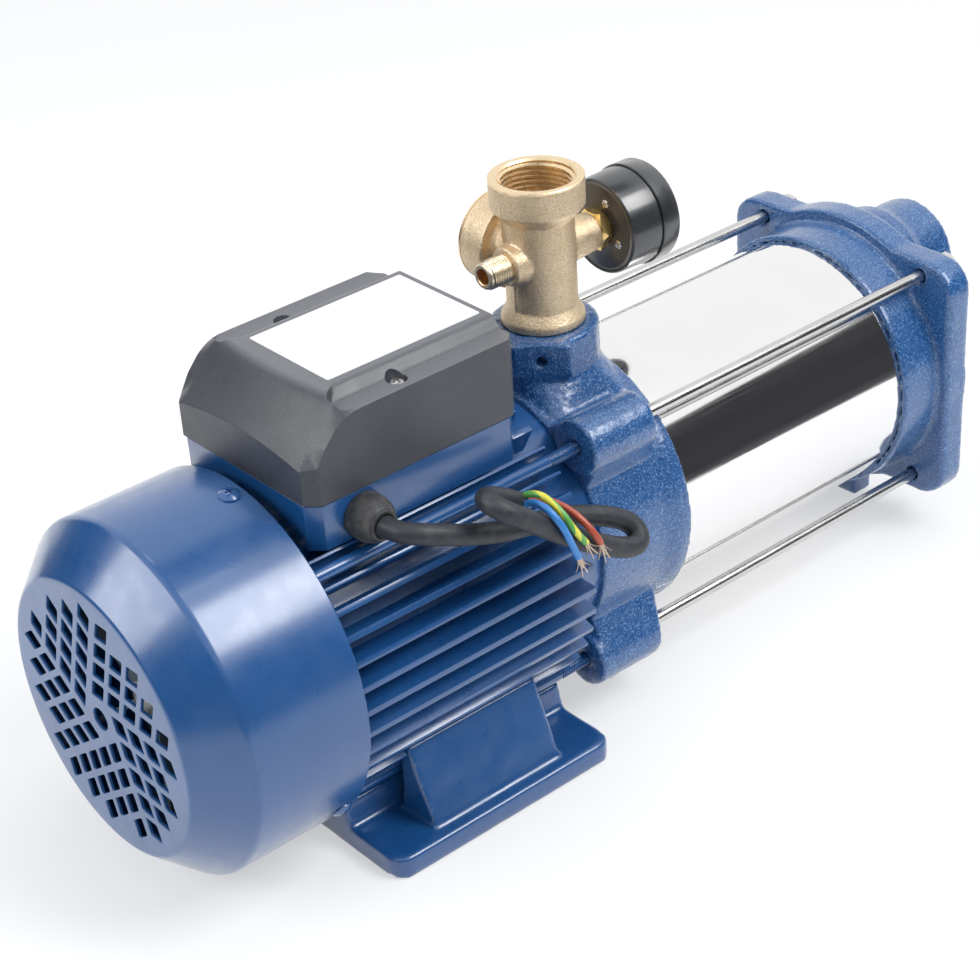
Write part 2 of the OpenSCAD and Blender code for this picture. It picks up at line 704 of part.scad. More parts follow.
module capacitor() color("gainsboro")
    translate([capacitor_x, capacitor_y, flat_h + box_wall + capacitor_r]) rotate([0, 90, 0]) {
        cylinder(r = capacitor_r, h = capacitor_l);
        for (s = [-1, 1]) translate([-tag_t / 2, s * tag_y - tag_w / 2, capacitor_l])
            cube([tag_t, tag_w, tag_l]);
    }

// GLAND AND LEAD
gland_out = 12.5;
gland_lip = 0.4;
gland_lip_l = 2;
gland_shares = [[1, 0], [1, 0.35], [0.97, 0.5], [0.88, 0.68], [0.74, 0.84], [0.66, 0.9], [0.66, 1], [0, 1]];
module cable_gland() color([0.15, 0.15, 0.15]) translate([gland_x, -box_w / 2, gland_h])
    rotate([90, 0, 0]) rotate_extrude() polygon(concat(
        [[0, -box_wall - gland_lip_l], [gland_hole_r + gland_lip, -box_wall - gland_lip_l],
            [gland_hole_r + gland_lip, -box_wall], [gland_hole_r - slide_gap, -box_wall],
            [gland_hole_r - slide_gap, 0]],
        [for (p = gland_shares) [gland_r * p[0], gland_out * p[1]]]));

// Hand-chosen points of the lead's route, from the gland to the cut end of the sheath
lead_points = [[-33, -58.5, 150], [-32.5, -62.5, 150], [-30.5, -67.5, 149.7], [-26, -71.5, 148.8],
    [-19, -74.5, 146.7], [-10, -76, 143.1], [0, -76, 139], [10, -76, 135.5], [20, -76, 133],
    [30, -76, 130.7], [39.5, -76.3, 128.6], [49, -77.1, 125.9], [58.5, -79, 122.5], [66.5, -81, 118.9],
    [72.2, -83.3, 115.2], [74.4, -86.6, 111.2], [72, -90, 108.5], [66, -91.3, 109.2],
    [58.5, -91.7, 112.8], [51, -91.9, 117.4], [43, -92, 122.6], [34, -92.2, 129], [25, -92.2, 136],
    [17, -92.1, 142.5], [10, -92, 148.2], [4.6, -91.7, 152.4], [0.6, -89.3, 155.7],
    [-0.9, -84.6, 157.2], [1.1, -79.8, 156.4], [5.8, -77.4, 153.9], [11.8, -76.6, 150.3],
    [21.3, -76, 143.9]];
earth_points = [[21.3, -76.1, 146.1], [23.5, -79.4, 148.4], [25.2, -85, 149.3], [26.5, -90.5, 147],
    [27.6, -95, 143.2], [29, -98, 138.5], [32, -98.8, 133.4], [35, -99, 129]];
blue_points = [[19.8, -77.6, 143.8], [21.3, -81.8, 146.3], [21.2, -87.3, 148.2], [21.6, -92.8, 147.4],
    [23, -97, 143.4], [25, -98.8, 138], [27.8, -99, 131], [30.7, -99, 124]];
brown_points = [[19.8, -74.5, 143.8], [24, -75, 143.4], [28, -77.3, 143.2], [32.2, -81, 142.2],
    [35.2, -85.3, 140.4], [37.2, -89.6, 138], [38.6, -93.6, 135.2], [40.2, -97, 131.4],
    [42, -98.6, 127.2], [43, -98.6, 125]];
first_side = [0.1, 0.2, 1];
lead_sides = 12;
core_sides = 8;
steps = 2;
function unit(v) = v / norm(v);
function middle(a, b, c, d, t) = 0.5 * (2 * b + (c - a) * t + (2 * a - 5 * b + 4 * c - d) * t * t
    + (3 * b - a - 3 * c + d) * t * t * t);
function smooth(pts) = concat([for (i = [0:len(pts) - 2], k = [0:steps - 1])
    middle(pts[max(i - 1, 0)], pts[i], pts[i + 1], pts[min(i + 2, len(pts) - 1)], k / steps)],
    [pts[len(pts) - 1]]);
function heading(p, i) = unit(p[min(i + 1, len(p) - 1)] - p[max(i - 1, 0)]);
function sideways(p, i, n) = i == len(p) ? [] :
    let (t = heading(p, i), m = unit(n - (n * t) * t)) concat([m], sideways(p, i + 1, m));
module tube(pts, d, sides) {
    last = len(pts) - 1;
    side = sideways(pts, 0, first_side);
    verts = [for (i = [0:last], k = [0:sides - 1]) let (t = heading(pts, i), a = k * 360 / sides)
        pts[i] + d / 2 * (cos(a) * side[i] + sin(a) * cross(t, side[i]))];
    polyhedron(verts, concat(
        [for (k = [1:sides - 2]) [0, k, k + 1]],
        [for (k = [1:sides - 2]) [last * sides, last * sides + k + 1, last * sides + k]],
        [for (i = [0:last - 1], k = [0:sides - 1])
            [i * sides + k, (i + 1) * sides + k, i * sides + (k + 1) % sides]],
        [for (i = [0:last - 1], k = [0:sides - 1])
            [i * sides + (k + 1) % sides, (i + 1) * sides + k, (i + 1) * sides + (k + 1) % sides]]));
}
module mains_lead() color([0.1, 0.1, 0.1]) tube(smooth(lead_points), lead_d, lead_sides);
module earth_core() color("gold") tube(smooth(earth_points), core_d, core_sides);
module blue_core() color("dodgerblue") tube(smooth(blue_points), core_d, core_sides);
module brown_core() color("firebrick") tube(smooth(brown_points), core_d, core_sides);
bare_l = 9;
strand_share = 0.6;
module bare_end(p) translate(p[len(p) - 1]) {
    t = heading(p, len(p) - 1);
    rotate([0, acos(t[2]), atan2(t[1], t[0])])
        cylinder(r = core_d / 2 * strand_share, h = bare_l, $fn = blend_fn);
}
module core_ends() color("silver") {
    bare_end(smooth(earth_points));
    bare_end(smooth(blue_points));
    bare_end(smooth(brown_points));
}

// OUTLET CASTING
lug_lap_l = 4;
lug_l = 36;
lug_x = casting_x - lug_lap_l;
lug_end_x = lug_x + lug_l;
shoulder_share = 0.7;
shoulder_r_share = 1.3;
casting_shoulder_l = 6;
chamber_wall = 9;
chamber_r = spigot_r - chamber_wall;
rear_web_l = 7;
wall_l = 14;
seat_r = 14;
hub_wall = 7;
hub_wall_r = bearing_r + hub_wall;
hub_lead_l = 2;
ring_l = 6;
ring_slope_l = 8;
saddle_l = 44;
saddle_w = 68;
saddle_t = 10;
saddle_drop = 22;
saddle_neck_drop = 3;
pin_angle = 225;
pin_pad_w = 26;
pin_pad_h = 16;
pin_pad_out = 1;
pin_hole_r = 2.5;
pin_hole_l = 7;
rod_bite = 12;
module casting_shoulder(p) hull() {
    translate([casting_x, p[0], p[1]]) rotate([0, 90, 0])
        cylinder(r = ear_r, h = lug_end_x - casting_x, $fn = blend_fn);
    translate([casting_x, p[0] * shoulder_share, shaft_h + (p[1] - shaft_h) * shoulder_share])
        rotate([0, 90, 0]) cylinder(r = ear_r * shoulder_r_share,
            h = lug_end_x - casting_x + casting_shoulder_l, $fn = blend_fn);
}
module outlet_casting() color("royalblue") difference() {
    union() {
        on_shaft(casting_x) cylinder(r = casting_r, h = casting_l);
        on_shaft(casting_end_x - ring_l - ring_slope_l)
            cylinder(r1 = casting_r, r2 = ring_r, h = ring_slope_l);
        on_shaft(casting_end_x - ring_l) cylinder(r = ring_r, h = ring_l);
        on_shaft(bearing_front_x - hub_lead_l)
            cylinder(r = hub_wall_r, h = casting_x + wall_l - bearing_front_x);
        on_shaft(casting_x - spigot_l) cylinder(r = bore_r - slide_gap, h = 2 * spigot_l);
        at_rods(lug_x) cylinder(r = ear_r, h = lug_l);
        for (p = rod_places) casting_shoulder(p);
        translate([outlet_x, 0, shaft_h]) cylinder(r = neck_r, h = neck_h - shaft_h);
        hull() {
            translate([outlet_x, 0, shaft_h + casting_r - saddle_neck_drop])
                cylinder(r = neck_r, h = saddle_t, $fn = blend_fn);
            translate([outlet_x - saddle_l / 2, -saddle_w / 2, shaft_h + casting_r - saddle_drop])
                cube([saddle_l, saddle_w, saddle_t]);
        }
        translate([outlet_x, 0, neck_h - pin_pad_h - over]) rotate(pin_angle)
            translate([neck_r - bite, -pin_pad_w / 2, 0])
                cube([bite + pin_pad_out, pin_pad_w, pin_pad_h]);
        on_shaft(outlet_x) cylinder(r = spigot_r, h = stack_x - outlet_x);
    }
    // Bearing seat, clear hole and seal seat
    on_shaft(bearing_front_x - hub_lead_l - over) cylinder(r = bearing_r, h = bearing_w + hub_lead_l + over);
    on_shaft(bearing_front_x) cylinder(r = slinger_r + over, h = bearing_w + wall_l);
    on_shaft(casting_x + rear_web_l) cylinder(r = seat_r, h = casting_l);
    // Water chamber and barrel socket
    on_shaft(casting_x + wall_l) cylinder(r = chamber_r, h = casting_l);
    on_shaft(barrel_x - o_ring_d) ring(socket_r, spigot_r, casting_l);
    translate([outlet_x, 0, shaft_h]) cylinder(r = port_r - wall_step, h = neck_h);
    translate([outlet_x, 0, neck_h - male_l - male_gap]) cylinder(r = male_r + run_gap, h = neck_h);
    // Blind holes for the through bolts and the tie rods, and the small hole in the neck
    at_rods(lug_x - over) cylinder(r = bolt_r, h = bolt_bite + over);
    at_rods(lug_end_x - rod_bite - over) cylinder(r = rod_r, h = casting_l);
    translate([outlet_x, 0, neck_h - pin_pad_h / 2 - over]) rotate(pin_angle)
        translate([neck_r + pin_pad_out - pin_hole_l, 0, 0]) rotate([0, 90, 0])
            cylinder(r = pin_hole_r, h = 2 * pin_hole_l);
}

// SEAL AND SLINGER
slinger_brim = 2.5;
slinger_r = seal_shaft_r + slinger_brim;
slinger_l = 3;
seal_seat_l = 9;
seal_seat_x = casting_x + rear_web_l;
seal_lip = 1.5;
fold_count = 4;
fold_l = 3;
module slinger() color("black") on_shaft(tube_end_x + shoulder_l)
    ring(slinger_r, seal_shaft_r, slinger_l);
module seal_seat() color("ivory") on_shaft(seal_seat_x) ring(seat_r, seal_shaft_r + over, seal_seat_l);
module seal_head() color("dimgray") on_shaft(seal_seat_x + seal_seat_l + run_gap) {
    ring(seat_r - seal_lip, seal_shaft_r, fold_l);
    for (k = [1:fold_count]) translate([0, 0, k * fold_l])
        ring(seat_r - (1 + k % 2) * seal_lip, seal_shaft_r, fold_l);
}

// STAGES
hub_thickness = 3.5;
hub_r = pump_shaft_r + hub_thickness;
eye_ring_r = 16.7;
eye_ring_wall = 2.2;
eye_gap = 0.3;
eye_r = eye_ring_r + eye_gap;
eye_lap_l = 1.4;
rear_shroud_z = 11;
front_shroud_z = 20;
shroud_t = 1.5;
blade_t = 1.6;
blade_steps = 8;
blade_sweep = 70;
blade_lean = 45;
stack_gap = 0.5;
stage_ring_r = spigot_r - stack_gap;
stage_wall = 1.5;
partition_r = 50;
partition_z = 8;
vane_count = 6;
vane_angle = 20;
function blade_point(r, r0, r1, side) = let (a = blade_sweep * (r - r0) / (r1 - r0))
    r * ray(a) + side * blade_t / 2 * ray(a - blade_lean);
module blade(r0, r1) polygon([
    for (i = [0:blade_steps]) blade_point(r0 + (r1 - r0) * i / blade_steps, r0, r1, 1),
    for (i = [blade_steps:-1:0]) blade_point(r0 + (r1 - r0) * i / blade_steps, r0, r1, -1)]);
module impeller(k) color("burlywood") on_shaft(stack_end_x - k * stage_pitch) difference() {
    union() {
        translate([0, 0, plate_web]) cylinder(r = hub_r, h = stage_pitch);
        translate([0, 0, rear_shroud_z]) cylinder(r = impeller_r, h = shroud_t);
        translate([0, 0, front_shroud_z]) {
            ring(impeller_r, eye_ring_r - eye_ring_wall, shroud_t);
            ring(eye_ring_r, eye_ring_r - eye_ring_wall, stage_pitch + eye_lap_l - front_shroud_z);
        }
        translate([0, 0, rear_shroud_z]) linear_extrude(front_shroud_z + over - rear_shroud_z)
            for (b = [0:impeller_blades - 1]) rotate(b * 360 / impeller_blades)
                blade(eye_ring_r - eye_ring_wall, impeller_r - over);
    }
    translate([0, 0, over]) cylinder(r = pump_shaft_r, h = stage_pitch + plate_web);
}
module impeller_1() impeller(1);
module impeller_2() impeller(2);
module impeller_3() impeller(3);
module impeller_4() impeller(4);
module impeller_5() impeller(5);
module diffuser(k) color("tan") on_shaft(stack_end_x - k * stage_pitch) {
    ring(stage_ring_r, stage_ring_r - stage_wall, stage_pitch);
    ring(stage_ring_r - stage_wall / 3, eye_r, plate_web);
    translate([0, 0, partition_z]) ring(partition_r, hub_r + over, plate_web);
    translate([0, 0, plate_web / 2]) linear_extrude(partition_z) for (b = [0:vane_count - 1])
        rotate(b * 360 / vane_count + vane_angle) mirror([0, 1]) blade(eye_r + over, partition_r - over);
}
module diffuser_1() diffuser(1);
module diffuser_2() diffuser(2);
module diffuser_3() diffuser(3);
module diffuser_4() diffuser(4);
module diffuser_5() diffuser(5);
shaft_nut_share = 2.7;
shaft_washer_t = 1.5;
module shaft_nut() color("silver") on_shaft(shaft_nut_x) difference() {
    union() {
        cylinder(r = hub_r, h = shaft_washer_t);
        hexagon(shaft_nut_share * pump_shaft_r, nut_l);
    }
    translate([0, 0, -over]) cylinder(r = pump_shaft_r, h = nut_l + 2 * over);
}

// BARREL
module barrel() color("whitesmoke") on_shaft(barrel_x) ring(barrel_r, barrel_r - barrel_wall, barrel_l);
module barrel_o_rings() color("black") for (x = [barrel_x - o_ring_d / 2, barrel_end_x + o_ring_d / 2])
    on_shaft(x) rotate_extrude() translate([socket_r - o_ring_d / 2, 0])
        circle(d = o_ring_d, $fn = blend_fn);

// INLET COVER
cavity_r = 46;
cavity_wall = 5;
cavity_end_wall = 6;
inlet_lead_l = 10;
dome_r = 56;
dome_end_r = 48;
dome_l = 7;
neck_base_wall = 4;
neck_base_l = 16;
neck_base_slope_l = 5;
wall_step = 2;
plug_y = -46;
plug_rise = 36;
plug_boss_r = 10.5;
plug_boss_l = 8;
plug_r = 6.6;
plug_l = 15;
plug_pocket_l = 4;
plug_passage_r = 1.5;
plug_passage_l = 16;
plug_head_r = 9.5;
plug_head_end_r = 7.5;
plug_brim_l = 3;
plug_head_l = 8;
plug_seat_x = flange_end_x + plug_boss_l;
module inlet_cover() color("royalblue") difference() {
    union() {
        on_shaft(cover_x) cylinder(r = ring_r, h = collar_l);
        on_shaft(flange_x) cylinder(r = flange_r, h = flange_t);
        on_shaft(stack_end_x) cylinder(r = spigot_r, h = flange_x - stack_end_x);
        on_shaft(flange_x) rounded_plate(flange_h, flange_w, flange_corner_r, flange_t);
        on_shaft(flange_end_x) cylinder(r1 = dome_r, r2 = dome_end_r, h = dome_l);
        translate([flange_end_x - over, 0, inlet_h]) rotate([0, 90, 0]) {
            cylinder(r = inlet_neck_r + neck_base_wall, h = neck_base_l);
            translate([0, 0, neck_base_l]) cylinder(r1 = inlet_neck_r + neck_base_wall,
                r2 = inlet_neck_r, h = neck_base_slope_l);
            cylinder(r = inlet_neck_r, h = inlet_neck_l + over);
        }
        translate([flange_x, plug_y, shaft_h + plug_rise]) rotate([0, 90, 0])
            cylinder(r = plug_boss_r, h = plug_seat_x - flange_x);
        translate([flange_x, -front_foot_w / 2, 0])
            cube([front_foot_l, front_foot_w, shaft_h - spigot_r]);
    }
    on_shaft(barrel_end_x + o_ring_d - barrel_l) ring(socket_r, spigot_r, barrel_l);
    on_shaft(stack_end_x - over) cylinder(r = eye_r, h = 2 * cavity_wall);
    on_shaft(stack_end_x + cavity_wall)
        cylinder(r = cavity_r, h = flange_end_x - cavity_end_wall - stack_end_x - cavity_wall);
    translate([stack_end_x + inlet_lead_l, 0, inlet_h]) rotate([0, 90, 0])
        cylinder(r = port_r - wall_step, h = inlet_end_x - stack_end_x - inlet_lead_l);
    translate([inlet_end_x - port_depth, 0, inlet_h]) rotate([0, 90, 0])
        cylinder(r = port_r, h = port_depth + over);
    translate([plug_seat_x - plug_l - plug_pocket_l, plug_y, shaft_h + plug_rise]) {
        rotate([0, 90, 0]) cylinder(r = plug_r, h = 2 * plug_l);
        translate([plug_pocket_l / 2, 0, 0]) rotate([atan2(plug_y, -plug_rise), 0, 0])
            cylinder(r = plug_passage_r, h = plug_passage_l, $fn = blend_fn);
    }
    at_rods(flange_x - over) cylinder(r = rod_r + free_gap, h = flange_t + 2 * over);
}
module priming_plug() color("royalblue") translate([plug_seat_x, plug_y, shaft_h + plug_rise])
    rotate([0, 90, 0]) {
        translate([0, 0, -plug_l]) cylinder(r = plug_r - run_gap, h = plug_l);
        cylinder(r = plug_head_r, h = plug_brim_l);
        translate([0, 0, plug_brim_l])
            cylinder(r1 = plug_head_r, r2 = plug_head_end_r, h = plug_head_l);
    }

// TIE RODS AND NUTS
nut_across = 10;
nut_h = 5;
washer_r = 6;
washer_t = 1.2;
rod_stub_l = 3;
module tie_rods() color("silver") at_rods(lug_end_x - rod_bite)
    cylinder(r = rod_r, h = flange_end_x + washer_t + nut_h + rod_stub_l - lug_end_x + rod_bite);
module tie_rod_nuts() color("silver") at_rods(flange_end_x) {
    ring(washer_r, rod_r + slide_gap, washer_t);
    translate([0, 0, washer_t]) difference() {
        hexagon(nut_across, nut_h);
        translate([0, 0, -over]) cylinder(r = rod_r, h = nut_h + 2 * over);
    }
}

// FIVE-WAY FITTING
male_l = 15;
male_gap = 3;
flare_r = 18.4;
flare_l = 3;
flare_slope_l = 5.5;
collar_l_top = 13;
collar_slope_l = 5.5;
side_l = 30;
side_collar_l = 15;
nipple_reach = 32.4;
nipple_root_reach = 20;
socket_reach = 29;
branch_r = 11;
branch_end_r = 8.5;
small_bore_r = 3.5;
waterway_r = 12;
stem_r = 5.8;
stem_l = 10;
module along_x(x) translate([x, 0, cross_h]) rotate([0, 90, 0]) children();
module five_way_fitting() color("goldenrod") difference() {
    union() {
        translate([outlet_x, 0, 0]) {
            translate([0, 0, neck_h - male_l]) cylinder(r = male_r, h = male_l);
            translate([0, 0, neck_h]) {
                cylinder(r = flare_r, h = flare_l);
                translate([0, 0, flare_l]) cylinder(r1 = flare_r, r2 = fitting_r, h = flare_slope_l);
                cylinder(r = fitting_r, h = fitting_rise);
            }
            translate([0, 0, fitting_top_h - collar_l_top]) {
                cylinder(r = fitting_collar_r, h = collar_l_top);
                translate([0, 0, -collar_slope_l])
                    cylinder(r1 = fitting_r, r2 = fitting_collar_r, h = collar_slope_l);
            }
            translate([0, 0, cross_h]) rotate([-90, 0, 0]) {
                cylinder(r = fitting_r, h = side_l);
                translate([0, 0, side_l - side_collar_l])
                    cylinder(r = fitting_collar_r, h = side_collar_l);
            }
        }
        along_x(outlet_x - nipple_root_reach)
            cylinder(r1 = branch_end_r, r2 = branch_r, h = nipple_root_reach);
        along_x(outlet_x - nipple_reach) cylinder(r = nipple_r, h = nipple_reach);
        along_x(outlet_x) cylinder(r1 = branch_r, r2 = branch_end_r, h = socket_reach);
    }
    translate([outlet_x, 0, 0]) {
        translate([0, 0, neck_h - male_l - over]) cylinder(r = waterway_r, h = fitting_top_h);
        translate([0, 0, fitting_top_h - port_depth]) cylinder(r = port_r, h = port_depth + over);
        translate([0, 0, cross_h]) rotate([-90, 0, 0]) {
            cylinder(r = waterway_r, h = side_l + over);
            translate([0, 0, side_l - port_depth + wall_step]) cylinder(r = port_r, h = port_depth);
        }
    }
    along_x(outlet_x - nipple_reach - over) cylinder(r = small_bore_r, h = nipple_reach);
    along_x(outlet_x) cylinder(r = small_bore_r, h = socket_reach + over);
    along_x(outlet_x + socket_reach - stem_l - over) cylinder(r = stem_r + run_gap, h = stem_l + 2 * over);
}

// GAUGE
hex_l = 5.7;
hex_across = 17;
gauge_x = outlet_x + socket_reach + hex_l;
gauge_wall = 1.6;
gauge_rim = 1.5;
gauge_step = 0.8;
bezel_x = gauge_x + gauge_case_l;
gauge_end_x = bezel_x + gauge_bezel_l;
bezel_wall = 2;
bezel_lip = 2;
bezel_lip_l = 1.5;
dial_gap = 0.3;
dial_t = 0.8;
dial_seat = 1.5;
dial_x = bezel_x + dial_seat;
pointer_gap = 1.2;
pointer_x = dial_x + dial_t + pointer_gap;
movement_back = 5;
movement_x = gauge_x + movement_back;
movement_t = 3.7;
movement_w = 8;
movement_end_x = movement_x + movement_t;
bourdon_r = 12;
bourdon_t = 2;
bourdon_w = 5;
bourdon_turn = 250;
post_r = 3.2;
spindle_r = 1.2;
spindle_l = 5;
module gauge_socket() color("gold") difference() {
    union() {
        along_x(outlet_x + socket_reach - stem_l) cylinder(r = stem_r, h = stem_l);
        along_x(outlet_x + socket_reach) hexagon(hex_across, hex_l);
        along_x(gauge_x) cylinder(r = stem_r, h = movement_x + over - gauge_x);
        translate([movement_x, -movement_w / 2, cross_h - bourdon_r - bourdon_t])
            cube([movement_t, movement_w, bourdon_r + bourdon_t + post_r]);
        along_x(movement_x) cylinder(r = post_r, h = dial_x - movement_x);
    }
    along_x(dial_x - spindle_l - over) cylinder(r = spindle_r + run_gap, h = spindle_l + 2 * over);
}
gauge_screw_r = 1.4;
gauge_screw_ring_r = 13;
gauge_screw_l = 4;
gauge_screw_head_r = 2.4;
gauge_screw_slot_w = 0.5;
gauge_screw_angles = [66, 201, 291];
module gauge_screw_places() for (a = gauge_screw_angles) along_x(gauge_x) rotate(a)
    translate([gauge_screw_ring_r, 0, 0]) children();
module gauge_case() color([0.12, 0.12, 0.13]) difference() {
    along_x(gauge_x) union() {
        cylinder(r1 = gauge_back_r - gauge_rim, r2 = gauge_back_r, h = gauge_rim);
        translate([0, 0, gauge_rim])
            cylinder(r1 = gauge_back_r, r2 = gauge_r - gauge_step, h = gauge_case_l - gauge_rim);
    }
    along_x(gauge_x + gauge_wall) cylinder(r = gauge_back_r - gauge_wall, h = gauge_case_l);
    along_x(gauge_x - over) cylinder(r = stem_r + slide_gap, h = gauge_case_l);
    gauge_screw_places() translate([0, 0, -over]) cylinder(r = gauge_screw_r, h = gauge_screw_l);
}
module gauge_back_screws() color("silver") gauge_screw_places() {
    cylinder(r = gauge_screw_r - run_gap, h = gauge_screw_l);
    translate([0, 0, -over]) difference() {
        cylinder(r = gauge_screw_head_r, h = over);
        translate([-gauge_screw_head_r, -gauge_screw_slot_w / 2, -over / 2])
            cube([2 * gauge_screw_head_r, gauge_screw_slot_w, over]);
    }
}
module bourdon_tube() color("goldenrod") along_x(movement_end_x) rotate_extrude(angle = bourdon_turn)
    translate([bourdon_r - bourdon_t / 2, 0]) square([bourdon_t, bourdon_w]);
module gauge_bezel() color([0.14, 0.14, 0.15]) along_x(bezel_x) difference() {
    cylinder(r = gauge_r, h = gauge_bezel_l);
    translate([0, 0, -over]) cylinder(r = gauge_r - bezel_wall, h = gauge_bezel_l - bezel_lip_l + over);
    cylinder(r = gauge_r - bezel_wall - bezel_lip, h = gauge_bezel_l + over);
}
module gauge_dial() color("white") along_x(dial_x)
    ring(gauge_r - bezel_wall - dial_gap, spindle_r + dial_gap, dial_t);
pointer_l = 15;
pointer_tail_l = 4;
pointer_w = 2.2;
pointer_tip_w = 0.8;
pointer_t = 0.6;
pointer_hub_r = 2.4;
pointer_rest = -135;
module gauge_pointer() color("black") along_x(pointer_x) rotate(pointer_rest) {
    linear_extrude(pointer_t) polygon([[-pointer_w / 2, -pointer_tail_l], [pointer_w / 2, -pointer_tail_l],
        [pointer_tip_w / 2, pointer_l], [-pointer_tip_w / 2, pointer_l]]);
    cylinder(r = pointer_hub_r, h = 2 * pointer_t);
    translate([0, 0, -spindle_l]) cylinder(r = spindle_r, h = spindle_l + pointer_t);
}
glass_t = 2;
module gauge_glass() color([0.8, 0.9, 0.95, 0.4])
    along_x(gauge_end_x - bezel_lip_l - slide_gap - glass_t)
        cylinder(r = gauge_r - bezel_wall - slide_gap, h = glass_t);

fan_cover();
fan_cover_screws();
cooling_fan();
rear_shield();
rear_bearing_outer();
rear_bearing_inner();
motor_housing();
foot_base();
foot_screws();
stator_core();
stator_windings();
rotor_core();
shaft();
front_bearing_outer();
front_bearing_inner();
through_bolts();
terminal_box_base();
box_screws();
lid_gasket();
terminal_box_lid();
lid_screws();
nameplate();
terminal_block();
capacitor();
cable_gland();
mains_lead();
earth_core();
blue_core();
brown_core();
core_ends();
outlet_casting();
slinger();
seal_seat();
seal_head();
impeller_1();
impeller_2();
impeller_3();
impeller_4();
impeller_5();
diffuser_1();
diffuser_2();
diffuser_3();
diffuser_4();
diffuser_5();
shaft_nut();
barrel();
barrel_o_rings();
inlet_cover();
tie_rods();
tie_rod_nuts();
priming_plug();
five_way_fitting();
gauge_socket();
gauge_case();
gauge_back_screws();
bourdon_tube();
gauge_bezel();
gauge_dial();
gauge_pointer();
gauge_glass();
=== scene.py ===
# Horizontal multistage centrifugal pump with its finned motor, brass outlet fitting and gauge.
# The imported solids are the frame, X runs from the fan to the suction port and Z is up.
import math

import bmesh
import bpy
from mathutils import Matrix, Vector, noise


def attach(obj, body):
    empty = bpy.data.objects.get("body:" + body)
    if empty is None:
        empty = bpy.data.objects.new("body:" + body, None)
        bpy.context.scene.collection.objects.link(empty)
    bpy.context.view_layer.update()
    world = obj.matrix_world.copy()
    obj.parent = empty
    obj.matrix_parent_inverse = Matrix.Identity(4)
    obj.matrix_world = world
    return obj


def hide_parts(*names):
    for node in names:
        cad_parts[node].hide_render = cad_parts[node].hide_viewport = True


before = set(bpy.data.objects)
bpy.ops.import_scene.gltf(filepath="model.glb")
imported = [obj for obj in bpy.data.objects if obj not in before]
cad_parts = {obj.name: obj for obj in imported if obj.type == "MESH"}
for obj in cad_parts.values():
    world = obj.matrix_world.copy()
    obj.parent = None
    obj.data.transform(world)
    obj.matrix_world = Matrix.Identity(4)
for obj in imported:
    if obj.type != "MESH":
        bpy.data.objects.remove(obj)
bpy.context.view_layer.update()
mm = 0.001

# Studio. White paper on the floor of a white room, with softboxes high on the near suction side,
# behind the fan end and overhead. The camera looks down on the fan end from the lead's side.
scene = bpy.context.scene
scene.view_settings.view_transform = "Standard"


def placed(name, data):
    """A new object in the scene that shows the data."""
    thing = bpy.data.objects.new(name, data)
    scene.collection.objects.link(thing)
    return thing


camera_data = bpy.data.cameras.new("camera")
camera_data.sensor_width = 36
camera_data.lens = 85.482
camera = placed("camera", camera_data)
camera.location = Vector((-482.97, -683.06, 626.37)) * mm
camera.rotation_euler = [math.radians(a) for a in (58.864, 3.377, -40.918)]
scene.camera = camera


def softbox(name, place, aim, width, height, power, along=None):
    """A rectangular lamp at place that faces aim, with its width laid along a direction."""
    lamp = bpy.data.lights.new(name, "AREA")
    lamp.shape = "RECTANGLE"
    lamp.size = width
    lamp.size_y = height
    lamp.energy = power
    back = (Vector(place) - Vector(aim)).normalized()
    up = back.cross(Vector(along or Vector((0, 0, 1)).cross(back))).normalized()
    facing = Matrix((up.cross(back), up, back)).transposed().to_4x4()
    placed(name, lamp).matrix_world = Matrix.Translation(place) @ facing


softbox("near side softbox", (0.72, -0.98, 1.46), (-0.06, -0.03, 0.13), 0.8, 0.85, 20, (1, 0, 0))
softbox("fan end softbox", (-1.35, 0.48, 1.05), (-0.13, 0, 0.12), 1.3, 0.5, 12)
softbox("overhead softbox", (0.45, 0.15, 2.5), (0.1, 0, 0.1), 1.5, 0.7, 12.5)


def wired(tree, kind, inputs, **settings):
    """A new shader node, with each of its inputs set to a value or joined to a socket."""
    node = tree.nodes.new(kind)
    for key, value in settings.items():
        setattr(node, key, value)
    for key, value in inputs.items():
        if isinstance(value, bpy.types.NodeSocket):
            tree.links.new(value, node.inputs[key])
        else:
            node.inputs[key].default_value = value
    return node


def rays_that_see_white(tree):
    """1 for rays from the camera and through gloss or glass, 0 for the light that rooms bounce."""
    rays = wired(tree, "ShaderNodeLightPath", {}).outputs
    answer = rays["Is Camera Ray"]
    for kind in ("Is Glossy Ray", "Is Transmission Ray"):
        either = wired(tree, "ShaderNodeMath", {0: answer, 1: rays[kind]}, operation="MAXIMUM")
        answer = either.outputs[0]
    return answer


def mixed_shaders(tree, amount, first, second):
    shaders = {0: amount, 1: first.outputs[0], 2: second.outputs[0]}
    return wired(tree, "ShaderNodeMixShader", shaders).outputs[0]


world = bpy.data.worlds.new("paper room")
scene.world = world
world.use_nodes = True
sky = world.node_tree
sky.nodes.clear()
seen_white = wired(sky, "ShaderNodeBackground", {"Color": (1, 1, 1, 1)})
room_glow = wired(sky, "ShaderNodeBackground", {"Color": (0.93, 0.96, 1, 1), "Strength": 0.55})
wired(sky, "ShaderNodeOutputWorld",
      {"Surface": mixed_shaders(sky, rays_that_see_white(sky), room_glow, seen_white)})


